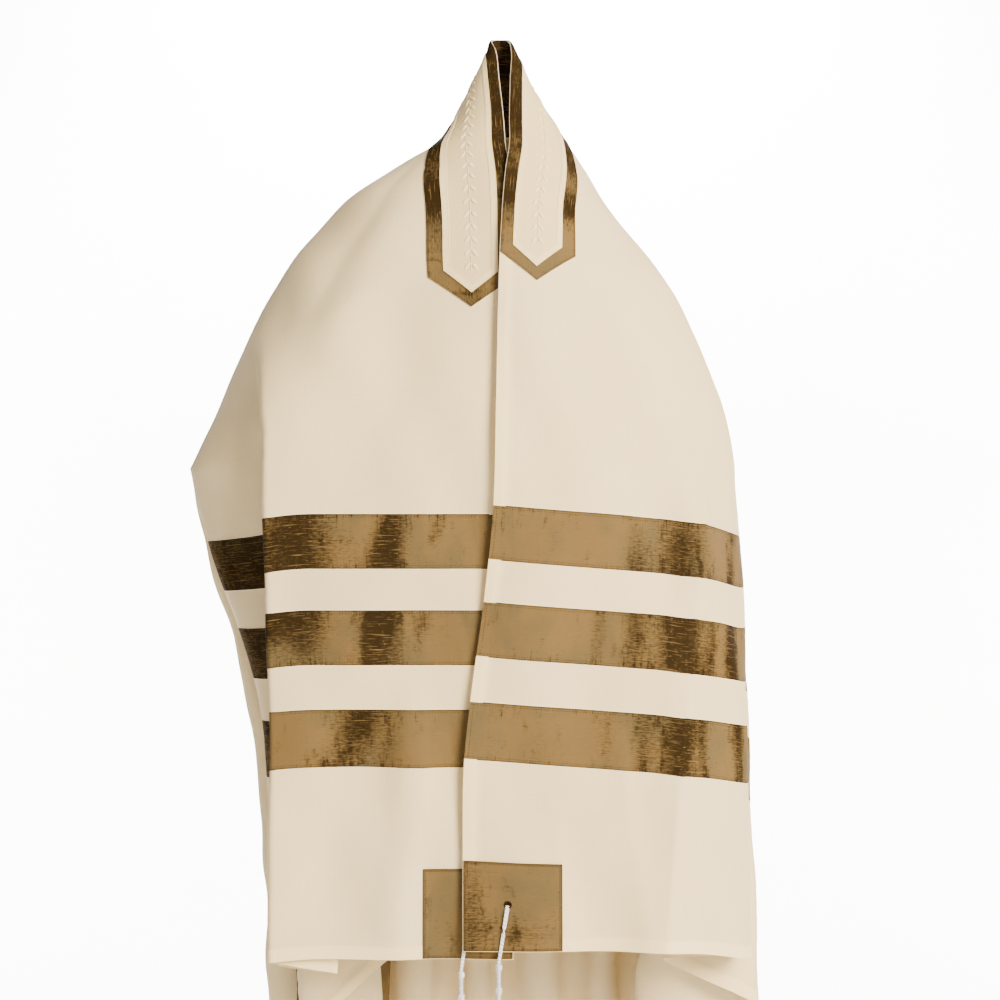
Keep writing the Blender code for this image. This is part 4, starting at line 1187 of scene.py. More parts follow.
@dataclass(frozen=True)
class SilkFinish:
    """Hand-woven silk with slubs along its threads; its colour is painted gold where it faces the light and
    dark brown as painted shade where it turns away.
    """

    name: str = "gold_brown_silk"
    gold: Triple = (0.135, 0.086, 0.0330)
    olive: Triple = (0.104, 0.075, 0.0330)
    # dark: the brown that the silk is painted where it lies in shade.
    dark: Triple = (0.0200, 0.0122, 0.0042)
    slub: Triple = (0.23, 0.150, 0.062)
    # seam: dark brown painted as shade along the rolled edges of each silk piece.
    seam: Triple = (0.026, 0.013, 0.005)
    roughness: float = 0.60
    # clouds: how strong the random clouds of painted shade are.
    clouds: float = 1.0
    # Extra shade painted over the whole piece, for silk that lies in shadow.
    painted_shadow: float = 0.0
    cloud: Grain = Grain(11.0, 7.0, 2.0, 0.35)
    cloud_middle: float = 0.56
    cloud_depth: float = 1.3
    fine: Grain = Grain(190.0, 620.0, 3.0)
    fine_depth: float = 1.25
    thread: Grain = Grain(20.0, 1500.0, 1.0)
    thread_depth: float = 0.55
    # Noise that paints shade into fine creases, and near seams as puckers.
    crease: Grain = Grain(95.0, 34.0, 3.0, 0.25)
    crease_shade_ramp: Ramp = Ramp(0.50, 0.80, 0.0, 0.55)
    pucker: Grain = Grain(330.0, 30.0)
    pucker_shade_ramp: Ramp = Ramp(0.54, 0.66, 0.0, 0.42)
    crumple: Grain = Grain(120.0, 22.0)
    tone: Grain = Grain(17.0, 12.0)
    tone_ramp: Ramp = Ramp(0.42, 0.66)
    shade_ramp: Ramp = Ramp(0.08, 0.95)
    long_slub: Grain = Grain(34.0, 850.0, 1.0)
    long_ramp: Ramp = Ramp(0.60, 0.71)
    short_slub: Grain = Grain(190.0, 640.0, 1.0)
    short_ramp: Ramp = Ramp(0.66, 0.76)
    slub_strength: Ramp = Ramp(0.0, 1.0, 0.14, 0.46)
    slub_roughness: float = 0.14
    relief: float = 0.00028

    def make(self) -> Material:
        """Build the material."""
        graph = MaterialGraph(self.name, self.roughness, 0.3, 1.10)
        flat = graph.flat()

        def more(share: object, depth: object, base: object) -> Socket:
            """A share of a depth on top of a base."""
            return graph.math("MULTIPLY_ADD", share, depth, base)

        fine, thread = graph.noise(flat, *self.fine), graph.noise(flat, *self.thread)
        # Painted shade, summed from the listed patches, random clouds, fine streaks and the noise of creases
        # and puckers: it stands in for the silk turning from the light.
        cloud = graph.math("SUBTRACT", graph.noise(flat, *self.cloud), self.cloud_middle)
        shade = graph.math("ADD", graph.value("shade"), self.painted_shadow)
        shade = more(cloud, self.cloud_depth * self.clouds, shade)
        shade = more(graph.math("SUBTRACT", fine, 0.5), self.fine_depth, shade)
        crease_shade = graph.between(graph.noise(flat, *self.crease), *self.crease_shade_ramp)
        pucker_shade = graph.between(graph.noise(flat, *self.pucker), *self.pucker_shade_ramp)
        shade = more(graph.value("pucker"), pucker_shade, graph.math("ADD", shade, crease_shade))
        shade = more(graph.math("SUBTRACT", thread, 0.5), self.thread_depth, shade)
        # How far each spot is painted from gold into shaded brown.
        depth = graph.between(shade, *self.shade_ramp)
        lit = graph.mix(graph.between(graph.noise(flat, *self.tone), *self.tone_ramp), self.gold, self.olive)
        slubs = graph.math("MAXIMUM", graph.between(graph.noise(flat, *self.long_slub), *self.long_ramp),
                           graph.between(graph.noise(flat, *self.short_slub), *self.short_ramp))
        strength = graph.math("MULTIPLY", slubs, graph.between(depth, *self.slub_strength))
        base = graph.mix(strength, graph.mix(depth, lit, self.dark), self.slub)
        # Painted shade where each silk piece's turned edge rolls into its seam.
        graph.put("Base Color", graph.mix(graph.value("seam"), base, self.seam))
        crumple = graph.math("MULTIPLY", graph.noise(flat, *self.crumple), graph.value("pucker"))
        height = more(fine, 0.55, more(crumple, 4.0, graph.math("MULTIPLY", slubs, 0.55)))
        graph.bump(more(thread, 0.45, height), self.relief)
        graph.put("Roughness", graph.between(slubs, 0.0, 1.0, self.roughness,
                                             self.roughness + self.slub_roughness))
        return graph.material


@dataclass(frozen=True)
class CordFinish:
    """White wool yarn of two plies, twisted."""

    name: str = "white_wool_cord"
    colour: Triple = (0.78, 0.80, 0.88)
    # groove: painted shade for the grooves between the twisted plies, also used for random darker fuzz.
    groove: Triple = (0.34, 0.32, 0.36)
    pitch: float = 0.0042
    fuzz: Grain = Grain(1500.0, 1500.0)
    groove_shade_ramp: Ramp = Ramp(-1.0, -0.2, 0.75, 0.0)
    fuzz_ramp: Ramp = Ramp(0.55, 0.75, 0.0, 0.25)
    ply_ramp: Ramp = Ramp(-1.0, 0.6)
    relief: float = 0.0003

    def make(self) -> Material:
        """Build the material."""
        graph = MaterialGraph(self.name, 0.85, 0.3)
        ply = graph.add("ShaderNodeAttribute", attribute_name="ply").outputs["Vector"]
        parts = graph.add("ShaderNodeSeparateXYZ", {0: ply}).outputs
        turn = graph.math("MULTIPLY", parts[0], 2.0 * math.pi / self.pitch)
        round_it = graph.math("ARCTAN2", parts[2], parts[1])
        twist = graph.math("SINE", graph.math("MULTIPLY_ADD", round_it, 2.0, turn))
        place = graph.add("ShaderNodeTexCoord").outputs["Object"]
        fuzz = graph.noise(place, *self.fuzz)
        # Painted shade in the grooves between the plies, together with random darker fuzz.
        shade = graph.math("MAXIMUM", graph.between(twist, *self.groove_shade_ramp),
                           graph.between(fuzz, *self.fuzz_ramp))
        graph.put("Base Color", graph.mix(shade, self.colour, self.groove))
        graph.bump(graph.math("MULTIPLY_ADD", fuzz, 0.4, graph.between(twist, *self.ply_ramp)), self.relief)
        graph.put("Sheen Weight", 0.4)
        return graph.material


@dataclass(frozen=True)
class ThreadFinish:
    """Sewing thread, which is also what a rolled edge is covered with."""

    name: str
    colour: Triple
    shade: Triple
    roughness: float = 0.55
    fuzz: Grain = Grain(900.0, 900.0)
    fuzz_ramp: Ramp = Ramp(0.35, 0.65)
    relief: float = 0.0001

    def make(self) -> Material:
        """Build the material."""
        graph = MaterialGraph(self.name, self.roughness, 0.3, 1.12)
        place = graph.add("ShaderNodeTexCoord").outputs["Object"]
        uneven = graph.noise(place, *self.fuzz)
        graph.put("Base Color", graph.mix(graph.between(uneven, *self.fuzz_ramp), self.colour, self.shade))
        graph.bump(uneven, self.relief)
        return graph.material


@dataclass(frozen=True)
class PaperFinish:
    """The plain pale paper of the studio's floor and wall."""

    name: str = "studio_paper"
    colour: Triple = (0.93, 0.93, 0.93)
    darker: float = 0.985
    grain: Grain = Grain(3.0, 3.0)
    grain_ramp: Ramp = Ramp(0.3, 0.7)

    def make(self) -> Material:
        """Build the material."""
        graph = MaterialGraph(self.name, 0.9, 0.1)
        place = graph.add("ShaderNodeTexCoord").outputs["Object"]
        grain = graph.noise(place, *self.grain)
        darker = tuple(self.darker * part for part in self.colour)
        graph.put("Base Color", graph.mix(graph.between(grain, *self.grain_ramp), self.colour, darker))
        return graph.material


class Slot(Enum):
    """The record's material slots."""

    WOOL = "ivory_wool"
    SILK = "gold_brown_silk"
    DARK_SILK = "dark_brown_silk"
    CORD = "white_wool_cord"


class Finishes:
    """Every material of the shawl, made once."""

    def __init__(self) -> None:
        """Make them."""
        self.wool = WoolFinish().make()
        self.inlay = WoolFinish("inlay_cloth", (0.77, 0.595, 0.315), (0.68, 0.535, 0.30),
                                roughness=0.62).make()
        self.ribbon = RibbonFinish().make()
        self.silk = SilkFinish().make()
        # The corner patches and the neck band get weaker random clouds of painted shade.
        self.patch_silk = SilkFinish("patch_silk", clouds=0.45).make()
        self.collar_silk = SilkFinish("collar_silk", clouds=0.7).make()
        # The lining's silk is painted darker all over, as shadow inside the neck.
        self.facing_silk = SilkFinish("facing_silk", painted_shadow=0.30, clouds=0.6).make()
        self.cord = CordFinish().make()
        self.brown_thread, self.cream_thread, self.piping, self.edge_thread, self.satin_thread = (
            ThreadFinish(*looks).make() for looks in (
                ("brown_thread", (0.012, 0.006, 0.0025), (0.022, 0.011, 0.005)),
                ("cream_thread", (0.66, 0.53, 0.32), (0.50, 0.39, 0.22)),
                ("cream_piping", (0.90, 0.80, 0.60), (0.80, 0.69, 0.49)),
                ("edge_thread", (0.56, 0.48, 0.47), (0.44, 0.37, 0.36)),
                ("satin_thread", (0.84, 0.70, 0.44), (0.72, 0.58, 0.35), 0.42)))


class PaintedShadePatch(NamedTuple):
    """A patch of painted shade on the silk, where it turns from the light, lies past a fold or rounds away at
    its outline: its side, where it is, its reach, its lean and its depth.
    """

    side: Side
    s: float
    q: float
    s_half: float
    q_half: float
    lean: float
    depth: float


# Patches of painted shade on the silk bands, the neck band and the corner patches.
PAINTED_SHADE_PATCHES = (
    PaintedShadePatch(Side.LEFT, 0.587, 0.224, 0.075, 0.042, 0.00, 1.00),
    PaintedShadePatch(Side.LEFT, 0.587, 0.122, 0.080, 0.021, 0.28, 1.00),
    PaintedShadePatch(Side.LEFT, 0.570, 0.068, 0.022, 0.011, 0.20, 0.60),
    PaintedShadePatch(Side.LEFT, 0.668, 0.246, 0.026, 0.024, 0.00, 0.60),
    PaintedShadePatch(Side.LEFT, 0.688, 0.210, 0.060, 0.022, 0.30, 0.34),
    PaintedShadePatch(Side.LEFT, 0.688, 0.137, 0.075, 0.017, 0.15, 1.00),
    PaintedShadePatch(Side.LEFT, 0.688, 0.116, 0.060, 0.012, 0.00, 0.45),
    PaintedShadePatch(Side.LEFT, 0.672, 0.088, 0.018, 0.009, 0.10, 0.50),
    PaintedShadePatch(Side.LEFT, 0.793, 0.168, 0.070, 0.032, 0.35, 1.00),
    PaintedShadePatch(Side.LEFT, 0.798, 0.125, 0.060, 0.014, 0.20, 0.36),
    PaintedShadePatch(Side.LEFT, 0.690, 0.350, 0.300, 0.080, 0.00, 0.88),
    PaintedShadePatch(Side.RIGHT, 0.587, 0.202, 0.070, 0.040, 0.00, 0.72),
    PaintedShadePatch(Side.RIGHT, 0.587, 0.148, 0.070, 0.014, 0.00, 0.35),
    PaintedShadePatch(Side.RIGHT, 0.587, 0.284, 0.070, 0.014, 0.00, 0.65),
    PaintedShadePatch(Side.RIGHT, 0.688, 0.119, 0.070, 0.008, 0.00, 0.50),
    PaintedShadePatch(Side.RIGHT, 0.688, 0.152, 0.070, 0.012, 0.00, 0.60),
    PaintedShadePatch(Side.RIGHT, 0.688, 0.200, 0.075, 0.030, 0.00, 0.90),
    PaintedShadePatch(Side.RIGHT, 0.688, 0.243, 0.070, 0.008, 0.00, 0.45),
    PaintedShadePatch(Side.RIGHT, 0.688, 0.280, 0.075, 0.013, 0.00, 0.95),
    PaintedShadePatch(Side.RIGHT, 0.793, 0.027, 0.070, 0.010, 0.00, 0.32),
    PaintedShadePatch(Side.RIGHT, 0.793, 0.135, 0.070, 0.012, 0.00, 0.45),
    PaintedShadePatch(Side.RIGHT, 0.793, 0.165, 0.070, 0.012, 0.00, 0.65),
    PaintedShadePatch(Side.RIGHT, 0.793, 0.203, 0.075, 0.024, 0.00, 0.90),
    PaintedShadePatch(Side.RIGHT, 0.793, 0.232, 0.070, 0.007, 0.00, 0.45),
    PaintedShadePatch(Side.RIGHT, 0.793, 0.290, 0.075, 0.013, 0.00, 0.95),
    PaintedShadePatch(Side.RIGHT, 0.985, 0.008, 0.060, 0.016, 0.00, 0.60),
    PaintedShadePatch(Side.RIGHT, 1.010, 0.040, 0.026, 0.024, 0.00, 0.36),
    PaintedShadePatch(Side.RIGHT, 1.005, 0.072, 0.016, 0.020, 0.00, 0.32),
    PaintedShadePatch(Side.LEFT, 0.070, 0.010, 0.085, 0.030, 0.00, 1.30),
    PaintedShadePatch(Side.LEFT, 0.175, 0.010, 0.045, 0.030, 0.00, 0.70),
    PaintedShadePatch(Side.LEFT, 0.100, 0.084, 0.100, 0.030, 0.00, 1.35),
    PaintedShadePatch(Side.LEFT, 0.226, 0.084, 0.024, 0.030, 0.00, 1.10),
    PaintedShadePatch(Side.LEFT, 0.275, 0.080, 0.024, 0.020, 0.00, 0.36),
    PaintedShadePatch(Side.LEFT, 0.325, 0.045, 0.030, 0.020, 0.00, 0.55),
    PaintedShadePatch(Side.RIGHT, 0.070, 0.010, 0.118, 0.030, 0.00, 1.45),
    PaintedShadePatch(Side.RIGHT, 0.215, 0.008, 0.024, 0.025, 0.00, 0.66),
    PaintedShadePatch(Side.RIGHT, 0.245, 0.008, 0.030, 0.025, 0.00, 0.42),
    PaintedShadePatch(Side.RIGHT, 0.140, 0.084, 0.060, 0.030, 0.00, 1.20),
    PaintedShadePatch(Side.RIGHT, 0.236, 0.084, 0.018, 0.025, 0.00, 0.90),
)


def painted_silk_shade(s: Array, q: Array) -> Array:
    """How much painted shade the silk gets at flat points, summed from the listed patches."""
    shade = np.zeros(np.broadcast(s, q).shape)
    for cloud in PAINTED_SHADE_PATCHES:
        off = cloud.side.value * s - cloud.s
        beside = (q - cloud.q - cloud.lean * off) / cloud.q_half
        shade = shade + cloud.depth * np.exp(-(off / cloud.s_half) ** 2 - beside ** 2)
    return np.minimum(shade, 1.05)


def painted_edge_shade(distance: Array, width: float) -> Array:
    """A narrow painted shade where a piece's turned edge rolls under into its seam."""
    return 0.75 * (1.0 - ease(distance / width))


class Stitch(NamedTuple):
    """A kind of stitch: how far apart it is, its length, width and height, and its turn from the seam."""

    spacing: float = 0.0030
    size: Triple = (0.0021, 0.0006, 0.0005)
    turn: float = 0.0


PLAIN_STITCH = Stitch()
HEM_STITCH = Stitch(0.0034, (0.0022, 0.0005, 0.0004))
RIBBON_STITCH = Stitch(0.0028, (0.0019, 0.0005, 0.0004))
STEM_STITCH = Stitch(0.0026, (0.0034, 0.0011, 0.0009), 0.22)
EYELET_STITCH = Stitch(0.00078, (0.0022, 0.0009, 0.0008), 0.5 * math.pi)


class Sewing:
    """Stitches, piping and embroidery, set along flat paths by geometry nodes."""

    def __init__(self, drape: Drape) -> None:
        """Make the node trees."""
        self.drape = drape
        self.stitch_tree = self.build_stitch_tree()
        self.piping_tree = self.build_piping_tree()
        self.motif_tree = self.build_motif_tree()

    @staticmethod
    def new_tree(name: str, sizes: dict[str, str]) -> tuple[Graph, bpy.types.Node, bpy.types.Node]:
        """Start a geometry tree.

        Args:
            name: Its name.
            sizes: The names and socket types of its inputs.

        Returns:
            Its graph, its input node and its output node.
        """
        tree = bpy.data.node_groups.new(name, "GeometryNodeTree")
        tree.interface.new_socket("Geometry", in_out="INPUT", socket_type="NodeSocketGeometry")
        for key, kind in sizes.items():
            tree.interface.new_socket(key, in_out="INPUT", socket_type=kind)
        tree.interface.new_socket("Geometry", in_out="OUTPUT", socket_type="NodeSocketGeometry")
        graph = Graph(tree)
        return graph, graph.add("NodeGroupInput"), graph.add("NodeGroupOutput")

    @staticmethod
    def turned(graph: Graph, way: Socket) -> Socket:
        """The turn that lays a thing along a way, with its top out of the cloth."""
        out = graph.add("GeometryNodeInputNamedAttribute", {"Name": "out"}, data_type="FLOAT_VECTOR")
        first = graph.add("FunctionNodeAlignRotationToVector", {"Vector": way}, axis="X")
        second = graph.add("FunctionNodeAlignRotationToVector",
                           {"Rotation": first.outputs[0], "Vector": out.outputs[0]}, axis="Z", pivot_axis="X")
        return second.outputs[0]

    @staticmethod
    def spaced(graph: Graph, given: bpy.types.Node, step: str) -> Socket:
        """The given mesh's edge paths as curves, with their points a given step apart."""
        curve = graph.add("GeometryNodeMeshToCurve", {"Mesh": given.outputs["Geometry"]})
        spaced = graph.add("GeometryNodeResampleCurve", {"Curve": curve.outputs[0],
                                                         "Length": given.outputs[step]}, mode="LENGTH")
        return spaced.outputs[0]

    @staticmethod
    def ending(graph: Graph, made: Socket, given: bpy.types.Node, end: bpy.types.Node) -> None:
        """Realise what a tree has made, smooth it and give it its material."""
        plain = graph.add("GeometryNodeRealizeInstances", {0: made})
        smooth = graph.add("GeometryNodeSetShadeSmooth", {"Geometry": plain.outputs[0]})
        dressed = graph.add("GeometryNodeSetMaterial", {"Geometry": smooth.outputs[0],
                                                        "Material": given.outputs["Material"]})
        graph.tree.links.new(dressed.outputs[0], end.inputs[0])

    def build_stitch_tree(self) -> bpy.types.NodeTree:
        """Evenly spaced stitches along every edge path of a mesh."""
        graph, given, end = self.new_tree("row_of_stitches", {
            "Spacing": "NodeSocketFloat", "Size": "NodeSocketVector", "Turn": "NodeSocketFloat",
            "Seed": "NodeSocketInt", "Material": "NodeSocketMaterial"})
        grain = graph.add("GeometryNodeMeshIcoSphere", {"Radius": 0.5, "Subdivisions": 1})
        sized = graph.add("GeometryNodeTransform", {"Geometry": grain.outputs[0],
                                                    "Scale": given.outputs["Size"]})
        way = graph.add("GeometryNodeInputTangent").outputs[0]
        wobble = graph.add("FunctionNodeRandomValue", {2: -0.10, 3: 0.10, "Seed": given.outputs["Seed"]},
                           data_type="FLOAT")
        angle = graph.math("ADD", given.outputs["Turn"], wobble.outputs[1])
        spin = graph.add("ShaderNodeCombineXYZ", {"Z": angle})
        to_turn = graph.add("FunctionNodeEulerToRotation", {0: spin.outputs[0]})
        turn = graph.add("FunctionNodeRotateRotation", {0: self.turned(graph, way), 1: to_turn.outputs[0]},
                         rotation_space="LOCAL")
        placed = graph.add("GeometryNodeInstanceOnPoints", {
            "Points": self.spaced(graph, given, "Spacing"), "Instance": sized.outputs[0],
            "Rotation": turn.outputs[0]})
        self.ending(graph, placed.outputs[0], given, end)
        return graph.tree

    def build_piping_tree(self) -> bpy.types.NodeTree:
        """A round cord along every edge path of a mesh."""
        graph, given, end = self.new_tree("rolled_edge", {
            "Step": "NodeSocketFloat", "Radius": "NodeSocketFloat", "Material": "NodeSocketMaterial"})
        section = graph.add("GeometryNodeCurvePrimitiveCircle", {"Resolution": 6,
                                                                 "Radius": given.outputs["Radius"]})
        swept = graph.add("GeometryNodeCurveToMesh", {"Curve": self.spaced(graph, given, "Step"),
                                                      "Profile Curve": section.outputs[0], "Fill Caps": True})
        self.ending(graph, swept.outputs[0], given, end)
        return graph.tree

    def build_motif_tree(self) -> bpy.types.NodeTree:
        """A small embroidered form at every point of a mesh, along the way that the point carries."""
        graph, given, end = self.new_tree("embroidery", {
            "Motif": "NodeSocketObject", "Unevenness": "NodeSocketFloat", "Seed": "NodeSocketInt",
            "Material": "NodeSocketMaterial"})
        points = graph.add("GeometryNodeMeshToPoints", {"Mesh": given.outputs["Geometry"]})
        motif = graph.add("GeometryNodeObjectInfo", {"Object": given.outputs["Motif"]})
        way = graph.add("GeometryNodeInputNamedAttribute", {"Name": "way"}, data_type="FLOAT_VECTOR")
        least = graph.math("SUBTRACT", 1.0, given.outputs["Unevenness"])
        size = graph.add("FunctionNodeRandomValue", {2: least, 3: 1.0, "Seed": given.outputs["Seed"]},
                         data_type="FLOAT")
        placed = graph.add("GeometryNodeInstanceOnPoints", {
            "Points": points.outputs[0], "Instance": motif.outputs["Geometry"],
            "Rotation": self.turned(graph, way.outputs[0]), "Scale": size.outputs[1]})
        self.ending(graph, placed.outputs[0], given, end)
        return graph.tree

    @staticmethod
    def baked(name: str, guide: Thing, tree: bpy.types.NodeTree, **inputs: object
              ) -> Thing:
        """Run a tree on a guide mesh and keep the result as a plain mesh.

        Args:
            name: The new piece's name.
            guide: The mesh that it follows, which is then removed.
            tree: The tree.
            **inputs: Its inputs by name, with low lines for spaces.

        Returns:
            The piece.
        """
        modifier = guide.modifiers.new("nodes", "NODES")
        modifier.node_group = tree
        sockets = {item.name: item.identifier for item in tree.interface.items_tree
                   if item.item_type == "SOCKET" and item.in_out == "INPUT"}
        for key, value in inputs.items():
            modifier[sockets[key]] = value
        bpy.context.view_layer.update()
        graph = bpy.context.evaluated_depsgraph_get()
        mesh = bpy.data.meshes.new_from_object(guide.evaluated_get(graph), preserve_all_data_layers=True,
                                               depsgraph=graph)
        mesh.name = name
        material = inputs.get("Material")
        if material is not None and not mesh.materials:
            mesh.materials.append(material)
        guide.modifiers.remove(modifier)
        bpy.data.objects.remove(guide, do_unlink=True)
        return added(name, mesh)

    def guide(self, paths: Sequence[Array], lift: float, ways: Array | None = None) -> Thing:
        """A mesh of edge paths, or of single points, that lie on the cloth.

        Args:
            paths: Flat paths of (s, q).
            lift: How far out from the cloth they lie.
            ways: A flat direction at each point, for single points.

        Returns:
            The mesh's object, which knows the way out of the cloth at each point.
        """
        flat = np.concatenate(paths)
        points, out = self.drape.lifted(flat[:, 0], flat[:, 1], lift)
        mesh = bpy.data.meshes.new("guide")
        edges = []
        if ways is None:
            start = 0
            for path in paths:
                edges.extend((index, index + 1) for index in range(start, start + len(path) - 1))
                start += len(path)
        mesh.from_pydata(points.tolist(), edges, [])
        mesh.attributes.new("out", "FLOAT_VECTOR", "POINT").data.foreach_set("vector", out.ravel())
        if ways is not None:
            near = flat + ways * 0.001
            ahead = unit(self.drape.lifted(near[:, 0], near[:, 1], lift)[0] - points)
            mesh.attributes.new("way", "FLOAT_VECTOR", "POINT").data.foreach_set("vector", ahead.ravel())
        return added("guide", mesh)

    def stitches(self, name: str, paths: Sequence[Array], lift: float, material: Material,
                 stitch: Stitch = PLAIN_STITCH) -> Thing:
        """A row of stitches along each flat path.

        Args:
            name: The piece's name.
            paths: The flat paths.
            lift: How far out from the cloth they lie.
            material: The thread.
            stitch: The kind of stitch.

        Returns:
            The piece.
        """
        return self.baked(name, self.guide(paths, lift), self.stitch_tree, Spacing=stitch.spacing,
                          Size=stitch.size, Turn=stitch.turn, Seed=7, Material=material)

    def piping(self, name: str, paths: Sequence[Array], lift: float, radius: float,
               material: Material) -> Thing:
        """A thin rolled edge along each flat path."""
        return self.baked(name, self.guide(paths, lift), self.piping_tree, Step=0.0050, Radius=radius,
                          Material=material)


@dataclass
class Workshop:
    """What every sub-assembly is made with."""

    drape: Drape
    mesher: Mesher
    sewing: Sewing
    finishes: Finishes
    grid: ClothGrid
    pieces: list[Thing] = field(default_factory=list)

    def keep(self, piece: Thing, slot: Slot, material: Material | None = None,
             stands_for: Sequence[str] = ()) -> Thing:
        """Dress a piece and tell the frame about it.

        Args:
            piece: The piece.
            slot: The record's slot meant for its finish; not used.
            material: Its material, where it has none yet.
            stands_for: The CAD nodes that it takes the place of.

        Returns:
            The piece.
        """
        if material is not None:
            piece.data.materials.clear()
            piece.data.materials.append(material)
        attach(piece, "root")
        if stands_for:
            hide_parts(*stands_for)
        self.pieces.append(piece)
        LOG.info("%s: %d faces", piece.name, len(piece.data.polygons))
        return piece


@dataclass
class WoolSheet:
    """The one long wool sheet, with its turned hems and its eyelet holes."""

    wall: float = 0.0008
    hem_rise: float = 0.00045
    stitch_inset: float = 0.0016
    stitch_gap: float = 0.0010
    patch_end: float = 0.096

    def hem_share(self, s: Array, q: Array, hem: float) -> Array:
        """One on the turned hems and nothing elsewhere."""
        from_edge = np.minimum(np.minimum(q, CLOTH_WIDTH - q), CLOTH_HALF_LENGTH - np.abs(s))
        return 1.0 - ease((from_edge - hem + 0.0005) / 0.001)

    def build(self, shop: Workshop) -> Thing:
        """Make the sheet.

        Args:
            shop: What it is made with.

        Returns:
            The sheet, which the other pieces are sewn to.
        """
        grid = shop.grid
        lines = grid.line_places()
        q = grid.column_places(shop.drape, lines)
        s = np.broadcast_to(lines[:, None], q.shape)
        middle_s, middle_q = np.abs(middles(s)), middles(q)
        keep = np.ones(middle_s.shape, dtype=bool)
        for band in SILK_BANDS:
            keep &= (middle_s < band.start) | (middle_s > band.end)
        from_edge = np.minimum(middle_q, CLOTH_WIDTH - middle_q)
        hole = (np.abs(middle_s - CLOTH_HALF_LENGTH + grid.eyelet_from_end) < grid.eyelet_half)
        keep &= ~(hole & (np.abs(from_edge - grid.eyelet_from_edge) < grid.eyelet_half))
        hem = self.hem_share(s, q, grid.hem)
        sheet = shop.mesher.cloth("wool_sheet", s, q, hem * self.hem_rise, self.wall, keep=keep, hem=hem)
        names = ["centre_cloth"]
        for side in Side:
            names += ["ivory_band_1_" + side.word, "ivory_band_2_" + side.word, "end_panel_" + side.word]
        shop.keep(sheet, Slot.WOOL, shop.finishes.wool, names)
        self.hem_stitches(shop)
        return sheet

    def hem_stitches(self, shop: Workshop) -> None:
        """Sew the hems down."""
        end = CLOTH_HALF_LENGTH
        inner = shop.grid.hem - self.stitch_inset
        paths = []
        stretches = [-end, *(-mark for band in reversed(SILK_BANDS) for mark in reversed(band)),
                     *(mark for band in SILK_BANDS for mark in band), end]
        for q in (inner, CLOTH_WIDTH - inner):
            for start, stop in zip(stretches[0::2], stretches[1::2]):
                paths.append(drawn([(start + self.stitch_gap, q), (stop - self.stitch_gap, q)]))
        for side in Side:
            s = side.value * (end - inner)
            paths.append(drawn([(s, self.patch_end), (s, CLOTH_WIDTH - self.patch_end)]))
        stitches = shop.sewing.stitches("hem_stitches", paths, 0.5 * self.wall + self.hem_rise,
                                        shop.finishes.cream_thread, HEM_STITCH)
        shop.keep(stitches, Slot.WOOL)


@dataclass
class SilkBands:
    """The three silk bands at each end, with their seams."""

    wall: float = 0.0009
    lift: float = 0.00018
    lap: float = 0.0010
    row_step: float = 0.0026
    seam_width: float = 0.0014
    stitch_inset: float = 0.0024
    edge_stitch_inset: float = 0.0044
    piping_radius: float = 0.00045
    piping_lift: float = 0.0004
    piping_end: float = 0.0004
    stitch_end: float = 0.0030

    def build(self, shop: Workshop) -> None:
        """Make the bands, their stitches and the light rolled edges beside them.

        Args:
            shop: What they are made with.
        """
        for side in Side:
            long_seams, rolls = [], []
            for number, band in enumerate(SILK_BANDS, 1):
                self.band(shop, side, number, band)
                for edge, way in ((band.start, 1.0), (band.end, -1.0)):
                    s = side.value * (edge + way * self.stitch_inset)
                    long_seams.append(drawn([(s, self.stitch_end), (s, CLOTH_WIDTH - self.stitch_end)]))
                    s = side.value * (edge - way * (self.lap + 0.4 * self.piping_radius))
                    rolls.append(drawn([(s, self.piping_end), (s, CLOTH_WIDTH - self.piping_end)]))
                for q in (self.edge_stitch_inset, CLOTH_WIDTH - self.edge_stitch_inset):
                    long_seams.append(drawn([(side.value * (band.start + self.stitch_end), q),
                                             (side.value * (band.end - self.stitch_end), q)]))
            lift = self.lift + 0.5 * self.wall
            stitches = shop.sewing.stitches("band_stitches_" + side.word, long_seams, lift,
                                            shop.finishes.brown_thread)
            shop.keep(stitches, Slot.DARK_SILK)
            piping = shop.sewing.piping("band_piping_" + side.word, rolls, self.piping_lift,
                                        self.piping_radius, shop.finishes.piping)
            shop.keep(piping, Slot.WOOL)

    def band(self, shop: Workshop, side: Side, number: int, band: Band) -> None:
        """Make one band.

        Args:
            shop: What it is made with.
            side: Its end of the cloth.
            number: Which band it is, from the middle outwards.
            band: Where it starts and ends.
        """
        marks = [band.start - self.lap, band.start, band.start + self.seam_width,
                 band.end - self.seam_width, band.end, band.end + self.lap]
        lines = np.sort(side.value * through(marks, [1.0, 1.0, self.row_step, 1.0, 1.0]))
        q = shop.grid.column_places(shop.drape, lines, 2)
        s = np.broadcast_to(lines[:, None], q.shape)
        from_seam = np.minimum(np.abs(s) - marks[0], marks[-1] - np.abs(s))
        from_edge = np.minimum(q, CLOTH_WIDTH - q)
        pucker = np.exp(-from_seam / 0.010) + 0.6 * np.exp(-from_edge / 0.050)
        piece = shop.mesher.cloth("silk_band_%d_%s" % (number, side.word), s, q, self.lift, self.wall,
                                  shade=painted_silk_shade(s, q), pucker=np.minimum(pucker, 1.0),
                                  seam=painted_edge_shade(from_seam, self.seam_width + self.lap))
        shop.keep(piece, Slot.SILK, shop.finishes.silk, ["silk_stripe_%d_%s" % (number, side.word)])


class Strip(NamedTuple):
    """A strip along the neck: half its length, how far its points reach past that, and its two edges."""

    half_length: float
    tip: float
    start: float
    end: float

    @property
    def middle(self) -> float:
        """The line down its middle, on which its points lie."""
        return 0.5 * (self.start + self.end)


